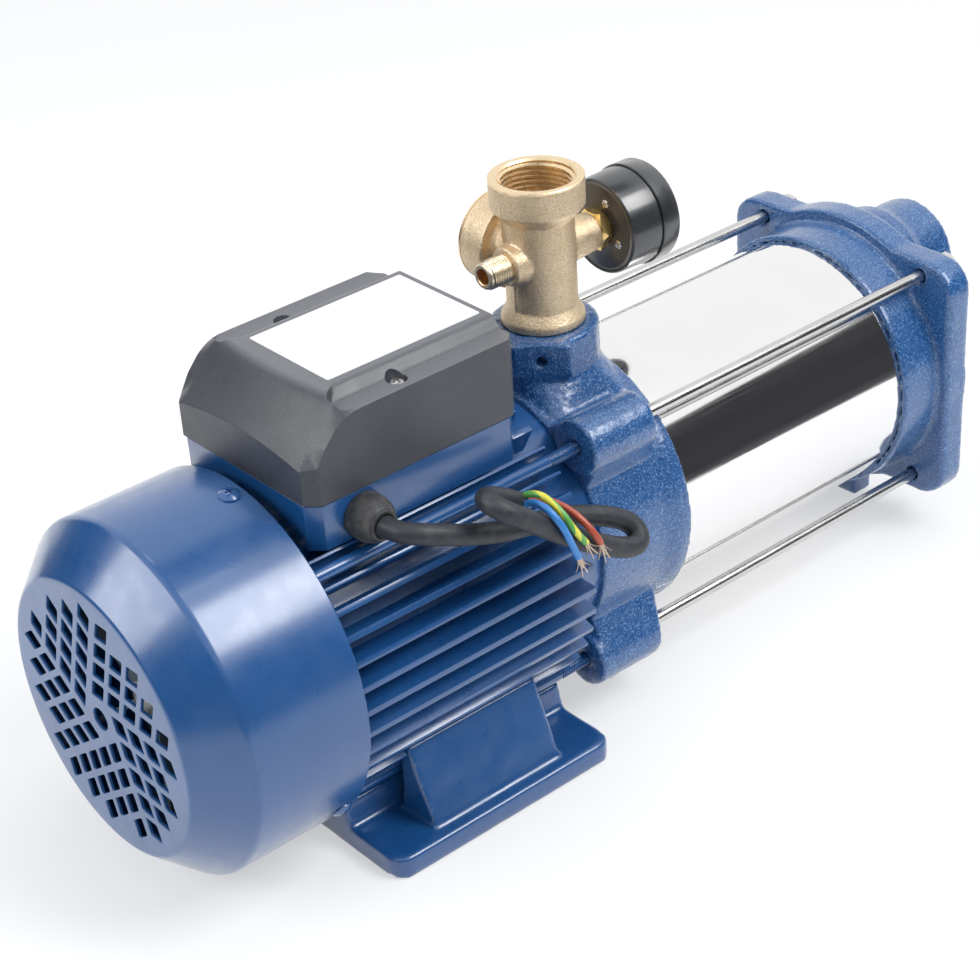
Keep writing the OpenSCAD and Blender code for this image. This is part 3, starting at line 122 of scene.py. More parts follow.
class Finish:
    """A procedural material: a Principled shader with textures on the piece's own coordinates."""

    def __init__(self, name, colour, roughness, metallic=0.0):
        self.material = bpy.data.materials.new(name)
        self.material.use_nodes = True
        self.tree = self.material.node_tree
        self.shader = self.tree.nodes["Principled BSDF"]
        self.set(base_color=(*colour, 1), roughness=roughness, metallic=metallic)
        self.place = wired(self.tree, "ShaderNodeTexCoord", {}).outputs["Object"]
        self.bump = None

    def set(self, **values):
        for key, value in values.items():
            label = key.replace("_", " ").title().replace("Ior", "IOR")
            self.shader.inputs[label].default_value = value

    def stretched(self, x, y, z, shift=(0, 0, 0)):
        """The piece's coordinates with each axis scaled, then shifted."""
        scaled = {"Vector": self.place, "Scale": (x, y, z), "Location": shift}
        return wired(self.tree, "ShaderNodeMapping", scaled).outputs["Vector"]

    def clouds(self, size, detail=2.0, place=None):
        """Noise whose blotches are about size metres across."""
        inputs = {"Vector": place or self.place, "Scale": 1 / size, "Detail": detail}
        return wired(self.tree, "ShaderNodeTexNoise", inputs).outputs["Fac"]

    def dots(self, pitch):
        """Distance to scattered points about pitch metres apart, from 0 at each point."""
        inputs = {"Vector": self.place, "Scale": 1 / pitch}
        return wired(self.tree, "ShaderNodeTexVoronoi", inputs).outputs["Distance"]

    def bands(self, density, wobble=0.0, place=None):
        """Parallel bands along X."""
        inputs = {"Vector": place or self.place, "Scale": density, "Distortion": wobble}
        return wired(self.tree, "ShaderNodeTexWave", inputs).outputs["Fac"]

    def between(self, value, low, high, to_low=0.0, to_high=1.0):
        """The value, taken from the range low to high to the range to_low to to_high."""
        ends = {"Value": value, "From Min": low, "From Max": high, "To Min": to_low, "To Max": to_high}
        return wired(self.tree, "ShaderNodeMapRange", ends).outputs["Result"]

    def mixed(self, amount, a, b):
        """Two colours or sockets, blended by amount."""
        node = self.tree.nodes.new("ShaderNodeMix")
        node.data_type = "RGBA"
        sockets = {s.identifier: s for s in node.inputs}
        self.tree.links.new(amount, sockets["Factor_Float"])
        for key, value in (("A_Color", a), ("B_Color", b)):
            if isinstance(value, tuple):
                sockets[key].default_value = (*value, 1)
            else:
                self.tree.links.new(value, sockets[key])
        return [s for s in node.outputs if s.identifier == "Result_Color"][0]

    def colour(self, value):
        self.tree.links.new(value, self.shader.inputs["Base Color"])

    def rough(self, value):
        self.tree.links.new(value, self.shader.inputs["Roughness"])

    def relief(self, value, depth, strength=1.0):
        """Adds a bump of the given depth in metres over the ones before it."""
        inputs = {"Height": value, "Distance": depth, "Strength": strength}
        if self.bump is not None:
            inputs["Normal"] = self.bump
        self.bump = wired(self.tree, "ShaderNodeBump", inputs).outputs["Normal"]
        self.tree.links.new(self.bump, self.shader.inputs["Normal"])

    def blotches(self, size, detail, a, b):
        """Colours the piece in blotches between two tones."""
        self.colour(self.mixed(self.clouds(size, detail), a, b))

    def sheen(self, size, detail, low, high):
        """Lets the roughness wander between low and high."""
        self.rough(self.between(self.clouds(size, detail), 0.3, 0.7, low, high))

    def grain(self, size, detail, depth, strength=1.0):
        """Adds a bump of clouds about size metres across."""
        self.relief(self.clouds(size, detail), depth, strength)


def as_mesh(bm, name="shape"):
    mesh = bpy.data.meshes.new(name)
    bm.to_mesh(mesh)
    bm.free()
    return mesh


def stage(name, bm, finish):
    """Something of the studio's, which isn't part of the pump."""
    thing = placed(name, as_mesh(bm, name))
    thing.data.materials.append(finish.material)
    return thing


floor_paper = Finish("paper floor", (0.94, 0.945, 0.95), 0.9)
floor_paper.set(specular_ior_level=0)
floor_paper.blotches(0.4, 2, (0.93, 0.935, 0.945), (0.95, 0.955, 0.96))
paper = floor_paper.tree
glow = wired(paper, "ShaderNodeMath", {0: rays_that_see_white(paper), 1: 0.52}, operation="MULTIPLY")
lit_paper = mixed_shaders(paper, glow.outputs[0], floor_paper.shader,
                          wired(paper, "ShaderNodeEmission", {}))
paper.links.new(lit_paper, paper.nodes["Material Output"].inputs["Surface"])
bm = bmesh.new()
bmesh.ops.create_grid(bm, x_segments=1, y_segments=1, size=6)
stage("floor", bm, floor_paper)

# Dark room. Past the paper the room is black cloth, apart from a white board behind the suction
# end. Only glossy surfaces see it, so it lights nothing: it draws the dark bands on the barrel.
black_cloth = Finish("black cloth", (0.05, 0.05, 0.053), 0.9)
black_cloth.set(specular_ior_level=0)
black_cloth.blotches(0.5, 2, (0.04, 0.04, 0.043), (0.06, 0.06, 0.064))
cloth_near, cloth_far, cloth_h, ceiling_h = 0.8, 2.2, 1.45, 2.3
cloth_start, cloth_turn = math.radians(98), math.radians(245)
bm = bmesh.new()
hem = [bm.verts.new(Matrix.Rotation(cloth_start, 4, "Z") @ Vector((reach, 0, z)))
       for reach, z in ((cloth_near, 0.001), (cloth_far, 0.001), (cloth_far, cloth_h))]
hem_edges = [bm.edges.new(pair) for pair in zip(hem, hem[1:])]
bmesh.ops.spin(bm, geom=hem + hem_edges, cent=(0, 0, 0), axis=(0, 0, 1), angle=cloth_turn, steps=48,
               use_merge=False, use_duplicate=False)
bm.faces.new([bm.verts.new((x, y, ceiling_h))
              for x, y in ((-0.4, -0.3), (1.35, -0.3), (1.35, 0.6), (-0.4, 0.6))])
cloth = stage("black_cloth", bm, black_cloth)
cloth.visible_camera = False
cloth.visible_diffuse = False
cloth.visible_shadow = False


# Power lead. A black rubber-sheathed lead that leaves the terminal box on the near side, loops
# under itself and ends in three stripped cores. It is the length that shows, end to end.
lead_route = [(-33, -58.5, 150), (-32.5, -62.5, 150), (-30.5, -67.5, 149.7), (-26, -71.5, 148.8),
              (-19, -74.5, 146.7), (-10, -76, 143.1), (0, -76, 139), (10, -76, 135.5),
              (20, -76, 133), (30, -76, 130.7), (39.5, -76.3, 128.6), (49, -77.1, 125.9),
              (58.5, -79, 122.5), (66.5, -81, 118.9), (72.2, -83.3, 115.2), (74.4, -86.6, 111.2),
              (72, -90, 108.5), (66, -91.3, 109.2), (58.5, -91.7, 112.8), (51, -91.9, 117.4),
              (43, -92, 122.6), (34, -92.2, 129), (25, -92.2, 136), (17, -92.1, 142.5),
              (10, -92, 148.2), (4.6, -91.7, 152.4), (0.6, -89.3, 155.7), (-0.9, -84.6, 157.2),
              (1.1, -79.8, 156.4), (5.8, -77.4, 153.9), (11.8, -76.6, 150.3), (21.3, -76, 143.9)]
earth_route = [(21.3, -76.1, 146.1), (23.5, -79.4, 148.4), (25.2, -85, 149.3),
               (26.5, -90.5, 147), (27.6, -95, 143.2), (29, -98, 138.5), (32, -98.8, 133.4),
               (35, -99, 129)]
blue_route = [(19.8, -77.6, 143.8), (21.3, -81.8, 146.3), (21.2, -87.3, 148.2),
              (21.6, -92.8, 147.4), (23, -97, 143.4), (25, -98.8, 138), (27.8, -99, 131),
              (30.7, -99, 124)]
brown_route = [(19.8, -74.5, 143.8), (24, -75, 143.4), (28, -77.3, 143.2), (32.2, -81, 142.2),
               (35.2, -85.3, 140.4), (37.2, -89.6, 138), (38.6, -93.6, 135.2),
               (40.2, -97, 131.4), (42, -98.6, 127.2), (43, -98.6, 125)]
lead_d, core_d, bare_l = 9 * mm, 3 * mm, 9 * mm
strand_r, strands_near = 0.3 * mm, -100.2 * mm


def smooth_route(route):
    """A rounder route through the same points, three steps to each pair."""
    points = [Vector(p) * mm for p in route]
    rounder = []
    for i in range(len(points) - 1):
        a, b, c, d = (points[max(i - 1, 0)], points[i], points[i + 1],
                      points[min(i + 2, len(points) - 1)])
        for k in range(3):
            t = k / 3
            rounder.append(0.5 * (2 * b + (c - a) * t + (2 * a - 5 * b + 4 * c - d) * t * t
                                  + (3 * b - a - 3 * c + d) * t * t * t))
    return rounder + [points[-1]]


def made(name, bm, finish, nodes=(), body="pump_body", sharp=30, flat=False):
    """Turns a finished bmesh into a piece that rides on its body and stands for its nodes."""
    mesh = as_mesh(bm, name)
    if not flat:
        mesh.polygons.foreach_set("use_smooth", [True] * len(mesh.polygons))
        mesh.set_sharp_from_angle(angle=math.radians(sharp))
    mesh.materials.append(finish.material)
    piece = placed(name, mesh)
    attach(piece, body)
    if nodes:
        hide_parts(*nodes)
    return piece


def mesh_of(curve):
    """The mesh that a curve or a text draws. The curve itself is then removed."""
    drawn = placed(curve.name, curve)
    mesh = bpy.data.meshes.new_from_object(drawn.evaluated_get(bpy.context.evaluated_depsgraph_get()))
    bpy.data.objects.remove(drawn)
    bpy.data.curves.remove(curve)
    return mesh


def flex(name, points, diameter, finish, node, rings):
    """A round tube along points for the flexible lead and cores, made a fixed mesh, that stands for its
    node.
    """
    curve = bpy.data.curves.new(name, "CURVE")
    curve.dimensions = "3D"
    curve.bevel_depth = diameter / 2
    curve.bevel_resolution = rings
    curve.use_fill_caps = True
    spline = curve.splines.new("POLY")
    spline.points.add(len(points) - 1)
    for point, place in zip(spline.points, points):
        point.co = (*place, 1)
    skin = mesh_of(curve)
    bm = bmesh.new()
    bm.from_mesh(skin)
    bpy.data.meshes.remove(skin)
    bmesh.ops.recalc_face_normals(bm, faces=bm.faces)
    return made(name, bm, finish, [node], sharp=60)


sheath = Finish("lead rubber", (0.03, 0.034, 0.04), 0.5)
sheath.set(specular_ior_level=0.45)
dusting = sheath.between(sheath.clouds(6 * mm, 5), 0.5, 0.8)
sheath.colour(sheath.mixed(dusting, (0.026, 0.030, 0.037), (0.055, 0.06, 0.068)))
sheath.sheen(3 * mm, 2, 0.42, 0.58)
sheath.grain(0.6 * mm, 3, 0.05 * mm, 0.5)
sheath.grain(7 * mm, 2, 0.5 * mm, 0.4)

lead_points = smooth_route(lead_route)
lead = flex("power_lead", lead_points, lead_d, sheath, "mains_lead", 10)

# Cores. Fine copper strands in coloured sheaths, stripped by hand, with frayed ends. They leave
# the lead together and hang down in front of it.
core_strands = Finish("tinned copper strands", (0.62, 0.5, 0.42), 0.34, 1.0)
core_strands.colour(core_strands.mixed(core_strands.between(core_strands.clouds(1 * mm), 0.35, 0.65),
                                       (0.66, 0.60, 0.54), (0.60, 0.42, 0.30)))
core_strands.grain(0.3 * mm, 2, 0.05 * mm, 0.5)


def only(items, kind):
    return [item for item in items if isinstance(item, kind)]


def frayed_end(points, lean):
    """Seven strands that leave the core together and spread a little towards their tips."""
    bm = bmesh.new()
    heading = (points[-1] - points[-3]).normalized()
    side = heading.cross(Vector((0, 0, 1))).normalized()
    up = side.cross(heading)
    for k in range(7):
        turn = k * math.tau / 6
        out = (side * math.cos(turn) + up * math.sin(turn)) * (0 if k == 6 else 1)
        start = points[-1] - heading * 1.5 * mm + out * 0.72 * mm
        strand = bmesh.ops.create_circle(bm, cap_ends=False, segments=6, radius=strand_r,
                                         matrix=Matrix.Translation(start)
                                         @ heading.to_track_quat("Z", "Y").to_matrix().to_4x4())
        edges = list({e for v in strand["verts"] for e in v.link_edges})
        bmesh.ops.contextual_create(bm, geom=edges)
        for step in range(5):
            grown = bmesh.ops.extrude_edge_only(bm, edges=edges)["geom"]
            edges = only(grown, bmesh.types.BMEdge)
            spread = (step + 1) ** 2 * 0.02 * mm * (1 + (k * 5 % 7) / 4)
            move = heading * (bare_l + 1.5 * mm) / 5 * (1 - 0.05 * (k * 3 % 5)) + out * spread
            move += (side * lean[0] + up * lean[1]) * step * 0.05 * mm
            bmesh.ops.translate(bm, verts=only(grown, bmesh.types.BMVert), vec=move)
        bmesh.ops.contextual_create(bm, geom=edges)
    over = max(strands_near - min(v.co.y for v in bm.verts), 0)
    for v in bm.verts:
        v.co.y += over * min((v.co - points[-1]).length / bare_l, 1)
    bmesh.ops.recalc_face_normals(bm, faces=bm.faces)
    return bm


for name, node, route, slot, colour, lean in (
        ("earth_core_wire", "earth_core", earth_route, "earth_sheath", (0.62, 0.60, 0.05), (1, 0.6)),
        ("blue_core_wire", "blue_core", blue_route, "blue_sheath", (0.03, 0.20, 0.55), (-1, 0.3)),
        ("brown_core_wire", "brown_core", brown_route, "brown_sheath", (0.42, 0.07, 0.035), (0.5, -1))):
    insulation = Finish(node + " insulation", colour, 0.3)
    insulation.set(coat_weight=0.3, coat_roughness=0.15)
    worn = insulation.clouds(4 * mm, 3)
    if node == "earth_core":
        stripes = insulation.bands(62, 0.6, insulation.stretched(1, 0.9, 0.6))
        insulation.colour(insulation.mixed(insulation.between(stripes, 0.47, 0.53),
                                           (0.72, 0.66, 0.06), (0.10, 0.36, 0.07)))
    else:
        insulation.colour(insulation.mixed(worn, tuple(c * 0.85 for c in colour),
                                           tuple(c * 1.15 for c in colour)))
    insulation.rough(insulation.between(worn, 0.3, 0.7, 0.25, 0.4))
    insulation.relief(worn, 0.2 * mm, 0.3)
    points = smooth_route(route)
    core = flex(name, points, core_d, insulation, node, 5)
    end = made(name.replace("wire", "strands"), frayed_end(points, lean), core_strands,
               sharp=60)
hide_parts("core_ends")


# Paint. Both castings, the foot, the motor and the fan cover share one glossy dark blue paint,
# sprayed thin over sand-cast iron on the pump heads and smooth over sheet and die-cast parts.
def blue_paint(name, gloss=0.3, grain=0.0):
    paint = Finish(name, (0.010, 0.078, 0.245), gloss)
    paint.set(coat_weight=1, coat_roughness=0.2)
    cloud = paint.clouds(35 * mm, 4)
    tone = paint.mixed(paint.between(cloud, 0.3, 0.7), (0.008, 0.071, 0.228), (0.013, 0.086, 0.264))
    specks_and_glints, speck_and_glint_tone = paint.between(paint.dots(3.4 * mm), 0.05, 0.035), (0.12, 0.21, 0.36)
    paint.sheen(9 * mm, 4, gloss - 0.06, gloss + 0.09)
    paint.grain(1.3 * mm, 2, 0.012 * mm)
    if grain:
        # On the sand-cast paint the pale specks are painted glints, flecks of painted highlight on the
        # sand grain; on smooth paint they stay pale dust specks.
        sand_grain_and_glints = paint.clouds(0.8 * mm, 2)
        specks_and_glints, speck_and_glint_tone = paint.between(sand_grain_and_glints, 0.52, 0.66), (0.11, 0.25, 0.50)
        paint.relief(sand_grain_and_glints, grain * mm)
        paint.grain(2 * mm, 3, grain * mm)
    paint.colour(paint.mixed(specks_and_glints, tone, speck_and_glint_tone))
    return paint


smooth_paint = blue_paint("smooth blue paint")
cast_paint = blue_paint("blue paint on sand casting", gloss=0.27, grain=0.26)


# Motor foot. One painted casting: a flat plate, the pedestal under the motor and a sloping
# gusset on each side. It is cast with soft edges and screwed up into the motor housing.
def packed_copy(node):
    bm = bmesh.new()
    bm.from_mesh(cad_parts[node].data)
    bmesh.ops.remove_doubles(bm, verts=bm.verts, dist=0.001 * mm)
    return bm


def cast_skin(solid, grain, softening, keep=1.0):
    """The solid, skinned with an even net of small faces and rubbed soft as a casting is."""
    pattern = as_mesh(solid)
    mould = placed("pattern", pattern)
    skin = mould.modifiers.new("skin", "REMESH")
    skin.mode = "VOXEL"
    skin.voxel_size = grain * mm
    if keep < 1:
        thin = mould.modifiers.new("thin", "DECIMATE")
        thin.ratio = keep
    bm = bmesh.new()
    bm.from_object(mould, bpy.context.evaluated_depsgraph_get())
    bpy.data.objects.remove(mould)
    bpy.data.meshes.remove(pattern)
    for _ in range(softening):
        bmesh.ops.smooth_vert(bm, verts=bm.verts, factor=0.5, use_axis_x=True, use_axis_y=True,
                              use_axis_z=True)
    bm.normal_update()
    return bm


def sand(bm, size, depth, where=lambda v: 1.0):
    """Moves each point along its normal by a smooth random depth, as the sand mould leaves it."""
    bm.normal_update()
    moves = [(v, v.normal * (depth * mm * where(v.co) * noise.noise(v.co / (size * mm))))
             for v in bm.verts]
    for v, move in moves:
        v.co += move


bm = cast_skin(packed_copy("foot_base"), 1.2, 5)
sand(bm, 9, 0.12)
for v in bm.verts:
    v.co.z = max(v.co.z, 0)
made("motor_foot", bm, smooth_paint, ["foot_base"], sharp=60)


# Motor housing. An aluminium extrusion with 42 straight fins round the stator, painted blue,
# with flats cut for the terminal box and the foot, and channels for the four through bolts.
def carved(bm, tool, way="DIFFERENCE"):
    """Cuts the tool's shape out of the piece."""
    pair = [placed("stock", as_mesh(part)) for part in (bm, tool)]
    cut = pair[0].modifiers.new("cut", "BOOLEAN")
    cut.operation = way
    cut.solver = "EXACT"
    cut.object = pair[1]
    bm = bmesh.new()
    bm.from_object(pair[0], bpy.context.evaluated_depsgraph_get())
    for stock in pair:
        mesh = stock.data
        bpy.data.objects.remove(stock)
        bpy.data.meshes.remove(mesh)
    return bm


def eased_edges(bm, geom, radius, segments=3, affect="EDGES"):
    bmesh.ops.bevel(bm, geom=geom, offset=radius, offset_type="OFFSET", segments=segments,
                    profile=0.5, affect=affect, clamp_overlap=True, material=-1)


def block(bm, low, high):
    """Adds a box between two corners in mm."""
    low, high = Vector(low) * mm, Vector(high) * mm
    bmesh.ops.create_cube(bm, size=1, matrix=Matrix.Translation((low + high) / 2)
                          @ Matrix.Diagonal((*(high - low), 1)))
    return bm


def dressed_copy(node, edge):
    """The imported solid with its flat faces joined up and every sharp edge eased."""
    bm = bmesh.new()
    bm.from_mesh(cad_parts[node].data)
    bmesh.ops.remove_doubles(bm, verts=bm.verts, dist=0.002 * mm)
    bmesh.ops.dissolve_limit(bm, angle_limit=math.radians(0.5), verts=bm.verts, edges=bm.edges)
    crisp = [e for e in bm.edges if e.is_manifold and e.calc_face_angle(0) > math.radians(28)]
    eased_edges(bm, crisp, edge * mm, 2)
    return bm


box_seat = block(bmesh.new(), (-70, -47, 141.5), (-57.5, 47, 175))
bm = carved(dressed_copy("motor_housing", 0.45), box_seat)
made("motor_body", bm, smooth_paint, ["motor_housing"], sharp=35)


# Fan cover. Deep-drawn steel sheet, painted, with soft turns from the grille face to the slope
# and to the side, and five fans of punched rhombic holes that turn round the middle one.
axis_h = 82 * mm
cover_front = -138 * mm
sheet_t = 1.4 * mm
directions = {"X": (Vector((1, 0, 0)), Vector((0, 0, 1))), "Y": (Vector((0, 1, 0)), Vector((0, 0, 1))),
              "Z": (Vector((0, 0, 1)), Vector((1, 0, 0)))}


def turned(bm, profile, steps=96, axis="X", centre=(0, 0, 82), closed=True):
    """Spins a profile of (along, radius) points in mm round an axis through centre.

    The profile is closed to a ring, unless it starts on the axis.
    """
    along, out = directions[axis]
    middle = Vector(centre) * mm
    verts = [bm.verts.new(middle + along * a * mm + out * r * mm) for a, r in profile]
    pairs = list(zip(verts, verts[1:]))
    if closed and profile[0][1] > 0:
        pairs.append((verts[-1], verts[0]))
    edges = [bm.edges.new(pair) for pair in pairs]
    bmesh.ops.spin(bm, geom=verts + edges, cent=middle, axis=along, angle=math.tau, steps=steps,
                   use_merge=True, use_duplicate=False)
    bmesh.ops.remove_doubles(bm, verts=bm.verts, dist=0.0005 * mm)
    return bm


def sealed(bm):
    bmesh.ops.remove_doubles(bm, verts=bm.verts, dist=0.0005 * mm)
    bmesh.ops.recalc_face_normals(bm, faces=bm.faces)
    return bm


def bend(a, b, c, radius, steps):
    """Points of a round turn of the given radius at b, on the way from a to c."""
    a, b, c = Vector(a), Vector(b), Vector(c)
    u, v = (a - b).normalized(), (c - b).normalized()
    half = u.angle(v) / 2
    reach = radius / math.tan(half)
    centre = b + (u + v).normalized() * radius / math.sin(half)
    start, end = b + u * reach - centre, b + v * reach - centre
    return [tuple(centre + start.slerp(end, k / steps).normalized() * radius) for k in range(steps + 1)]


# Outer skin from the grille's edge to the open end, and the same line one sheet further in.
outer = [(-138, 56.5)] + bend((-138, 56.5), (-138, 60.9), (-119, 78.2), 3, 6)
outer += bend((-138, 60.9), (-118.4, 79), (-64, 79), 5, 6) + [(-64.5, 79), (-64, 78.6)]
inner = [(-64, 77.9), (-64.3, 77.6)] + bend((-64, 77.6), (-117.9, 77.6), (-136.6, 60.2), 3.6, 6)
inner += bend((-117.9, 77.6), (-136.6, 60.2), (-136.6, 56.5), 1.8, 6) + [(-136.6, 56.5)]
bm = turned(bmesh.new(), outer + inner, 160, closed=False)

# One punched hole as an open tube with a rolled rim, then a copy of it at every place.
hole_side, hole_pitch, hole_limit, hole_start, middle_r = 8, 11.25, 50, 14.8, 5.55
fan_turn = math.radians(72)
half_span = hole_side / 2 * math.sin(fan_turn)
rim_steps = [(0.42, 0), (0.15, 0.1), (0, 0.42), (0, 1.4)]


def punched(bm, edges, half):
    """Draws the hole's outline down through the sheet; returns the edges at the back."""
    for last, (out, down) in zip([(0.55, 0)] + rim_steps, rim_steps):
        grown = bmesh.ops.extrude_edge_only(bm, edges=edges)["geom"]
        verts = only(grown, bmesh.types.BMVert)
        edges = only(grown, bmesh.types.BMEdge)
        size = (half + out) / (half + last[0])
        bmesh.ops.scale(bm, vec=(1, size, size), verts=verts)
        bmesh.ops.translate(bm, vec=((down - last[1]) * mm, 0, 0), verts=verts)
    return edges


hole = bmesh.new()
grow = (half_span + 0.55) / half_span * hole_side / 2 * mm
u, v = Vector((0, -1, 0)), Vector((0, math.cos(fan_turn * 1.5), math.sin(fan_turn * 1.5)))
corners = [hole.verts.new(grow * (a * u + b * v))
           for a, b in ((-1, -1), (1, -1), (1, 1), (-1, 1))]
hole.faces.new(corners)
eased_edges(hole, corners, 1.1 * mm, 4, affect="VERTICES")
bmesh.ops.delete(hole, geom=list(hole.faces), context="FACES_ONLY")
punched(hole, list(hole.edges), half_span)
hole_mesh = as_mesh(hole)


def at(x, y, z):
    """A move to a place in mm."""
    return Matrix.Translation(Vector((x, y, z)) * mm)


def add_copy(bm, mesh, place):
    before = len(bm.verts)
    bm.from_mesh(mesh)
    bm.verts.ensure_lookup_table()
    bmesh.ops.transform(bm, matrix=place, verts=bm.verts[before:])


for fan in range(5):
    turn = Matrix.Rotation(fan * fan_turn, 4, "X")
    first = hole_start * mm * Vector((0, math.cos(math.radians(97)), math.sin(math.radians(97))))
    for i in range(5):
        for j in range(5):
            spot = first + hole_pitch * mm * (i * u + j * v)
            if spot.length < hole_limit * mm:
                spot.x = cover_front
                add_copy(bm, hole_mesh, Matrix.Translation((0, 0, axis_h)) @ turn
                         @ Matrix.Translation(spot))
middle = bmesh.new()
bmesh.ops.create_circle(middle, cap_ends=False, segments=32, radius=middle_r * mm,
                        matrix=Matrix.Rotation(math.pi / 2, 4, "Y"))
punched(middle, list(middle.edges), 5)
add_copy(bm, as_mesh(middle), Matrix.Translation((cover_front, 0, axis_h)))
for x in (cover_front, cover_front + sheet_t):
    rim = [e for e in bm.edges if e.is_boundary and abs(e.verts[0].co.x - x) < 0.01 * mm
           and abs(e.verts[1].co.x - x) < 0.01 * mm]
    bmesh.ops.triangle_fill(bm, use_beauty=True, use_dissolve=False, edges=rim,
                            normal=(-1 if x == cover_front else 1, 0, 0))
made("fan_cover_shell", sealed(bm), smooth_paint, ["fan_cover"])


# Cover screws. Three domed cross-head screws with a flange, painted over with the cover.
def cross_screw(dome, slot_l, slot_w, slot_bottom, slot_top):
    """A screw head spun about Z, with a cross driven into its top."""
    bm = sealed(turned(bmesh.new(), dome, 40, "Z", (0, 0, 0)))
    for a in range(2):
        x, y = (slot_l / 2, slot_w / 2) if a == 0 else (slot_w / 2, slot_l / 2)
        bm = carved(bm, block(bmesh.new(), (-x, -y, slot_bottom), (x, y, slot_top)))
    return as_mesh(bm)


cover_screw = cross_screw([(-10, 0), (-10, 2.4), (0, 2.45), (0, 4.6), (0.55, 4.6), (0.85, 4.1),
                           (1.3, 3.5), (1.8, 2.6), (2.1, 1.5), (2.2, 0)], 3.6, 0.8, 1.1, 3)
bm = bmesh.new()
for angle in (7, 127, 247):
    add_copy(bm, cover_screw, Matrix.Translation((-71 * mm, 0, axis_h))
             @ Matrix.Rotation(math.radians(angle), 4, "X") @ Matrix.Translation((0, 0, 79 * mm)))
screw_paint = blue_paint("painted screw", gloss=0.24)
made("fan_cover_screw_heads", bm, screw_paint, ["fan_cover_screws"], sharp=32)


# Terminal box. A die-cast base with chamfered upright corners, painted with the motor and
# screwed to its flat; a rubber gasket closes it to the lid, which stands proud of it.
box_plan = [(-58, -40.5), (-52.5, -46), (45.5, -46), (51, -40.5), (51, 40.5), (45.5, 46),
            (-52.5, 46), (-58, 40.5)]
box_middle_x, box_halves = -3.5, (54.5, 46)


def plan_loop(bm, plan, z, inset=0.0):
    """A closed outline of the box at height z; inset draws it in towards the middle."""
    verts = [bm.verts.new(Vector((x, y, z)) * mm) for x, y in plan]
    if inset:
        middle = Vector((box_middle_x, 0, 0)) * mm
        for v in verts:
            for axis, half in enumerate(box_halves):
                v.co[axis] = middle[axis] + (v.co[axis] - middle[axis]) * (1 - inset / half)
    return [bm.edges.new(p) for p in zip(verts, verts[1:] + verts[:1])]


def stacked(bm, plan, levels):
    """Joins outlines at (height, inset) levels into one closed skin."""
    loops = [plan_loop(bm, plan, z, inset) for z, inset in levels]
    for a, b in zip(loops, loops[1:]):
        bmesh.ops.bridge_loops(bm, edges=a + b)
    return loops


def filled(plan, levels):
    """A closed solid from outlines at (height, inset) levels."""
    solid = bmesh.new()
    loops = stacked(solid, plan, levels)
    for ends in (loops[0], loops[-1]):
        bmesh.ops.contextual_create(solid, geom=ends)
    bmesh.ops.recalc_face_normals(solid, faces=solid.faces)
    return solid


bm = filled(box_plan, [(141.0, 1.3), (141.4, 1.0), (161.3, 0.9), (161.6, 1.2)])
uprights = [e for e in bm.edges if abs((e.verts[0].co - e.verts[1].co).normalized().z) > 0.8]
eased_edges(bm, uprights, 0.5 * mm)
bm = carved(bm, filled(box_plan, [(144.2, 4), (170, 4)]))
gland_axis, lid_screw_x, lid_screw_y = (-33, 0, 150), -5, 37
lead_hole = turned(bmesh.new(), [(-50, 0), (-50, 5.5), (-38, 5.5), (-38, 0)], 32, "Y", gland_axis)
bm = carved(bm, sealed(lead_hole))
for side in (-1, 1):
    post = turned(bmesh.new(), [(144, 0), (144, 5), (161.55, 5), (161.55, 2), (150, 2), (150, 0)], 24,
                  "Z", (lid_screw_x, side * lid_screw_y, 0))
    add_copy(bm, as_mesh(sealed(post)), Matrix())
made("terminal_box", bm, smooth_paint, ["terminal_box_base"], sharp=40)

# Gasket between the box and its lid.
gasket_rubber = Finish("gasket rubber", (0.015, 0.015, 0.016), 0.7)
gasket_rubber.sheen(3 * mm, 2, 0.6, 0.8)
gasket_rubber.grain(1 * mm, 2, 0.05 * mm)
bm = bmesh.new()
loops = stacked(bm, box_plan, [(161.6, 1.5), (162.4, 1.5), (162.4, 3.4), (161.6, 3.4)])
bmesh.ops.bridge_loops(bm, edges=loops[-1] + loops[0])
made("box_gasket", sealed(bm), gasket_rubber, ["lid_gasket"], flat=True)

# Cable gland. A squat moulded rubber dome that grips the lead where it enters the box.
gland_rubber = Finish("gland rubber", (0.04, 0.042, 0.046), 0.55)
rub = gland_rubber.between(gland_rubber.clouds(5 * mm, 5), 0.45, 0.75)
gland_rubber.colour(gland_rubber.mixed(rub, (0.034, 0.036, 0.041), (0.10, 0.095, 0.088)))
gland_rubber.sheen(2 * mm, 2, 0.45, 0.65)
gland_rubber.grain(0.7 * mm, 3, 0.06 * mm)
bm = bmesh.new()
turned(bm, [(-41, 0), (-41, 5.6), (-43, 5.6), (-43, 5.2), (-44.9, 5.2), (-44.9, 9.8), (-45.3, 10),
            (-49.8, 10), (-51.2, 9.9), (-52.8, 9.5), (-54.3, 8.9), (-55.6, 8.1), (-56.6, 7.4),
            (-57.1, 6.9), (-57.35, 6.55), (-57.7, 6.75), (-58.1, 6.65), (-58.45, 6.2), (-58.5, 5.5),
            (-58.1, 4.85), (-57.4, 4.45), (-57.4, 0)],
       48, "Y", gland_axis)
made("lead_gland", sealed(bm), gland_rubber, ["cable_gland"], sharp=50)


# Lid. Moulded black plastic: an arched ramp up from the fan end to a raised middle, and along
# each side a shallow valley with a round closed end, in which the lid screw is sunk.
def eased(t):
    t = min(max(t, 0), 1)
    return t * t * (3 - 2 * t)


def softer(a, b, width):
    """The lower of two heights, with the turn between them rounded over width mm."""
    t = min(max(0.5 + (b - a) / (2 * width), 0), 1)
    return b * (1 - t) + a * t - width * t * (1 - t)


def between_points(x, points):
    """Height at x on a line through the given (x, height) points."""
    for (x0, z0), (x1, z1) in zip(points, points[1:]):
        if x <= x1:
            return z0 + (z1 - z0) * max(x - x0, 0) / (x1 - x0)
    return points[-1][1]


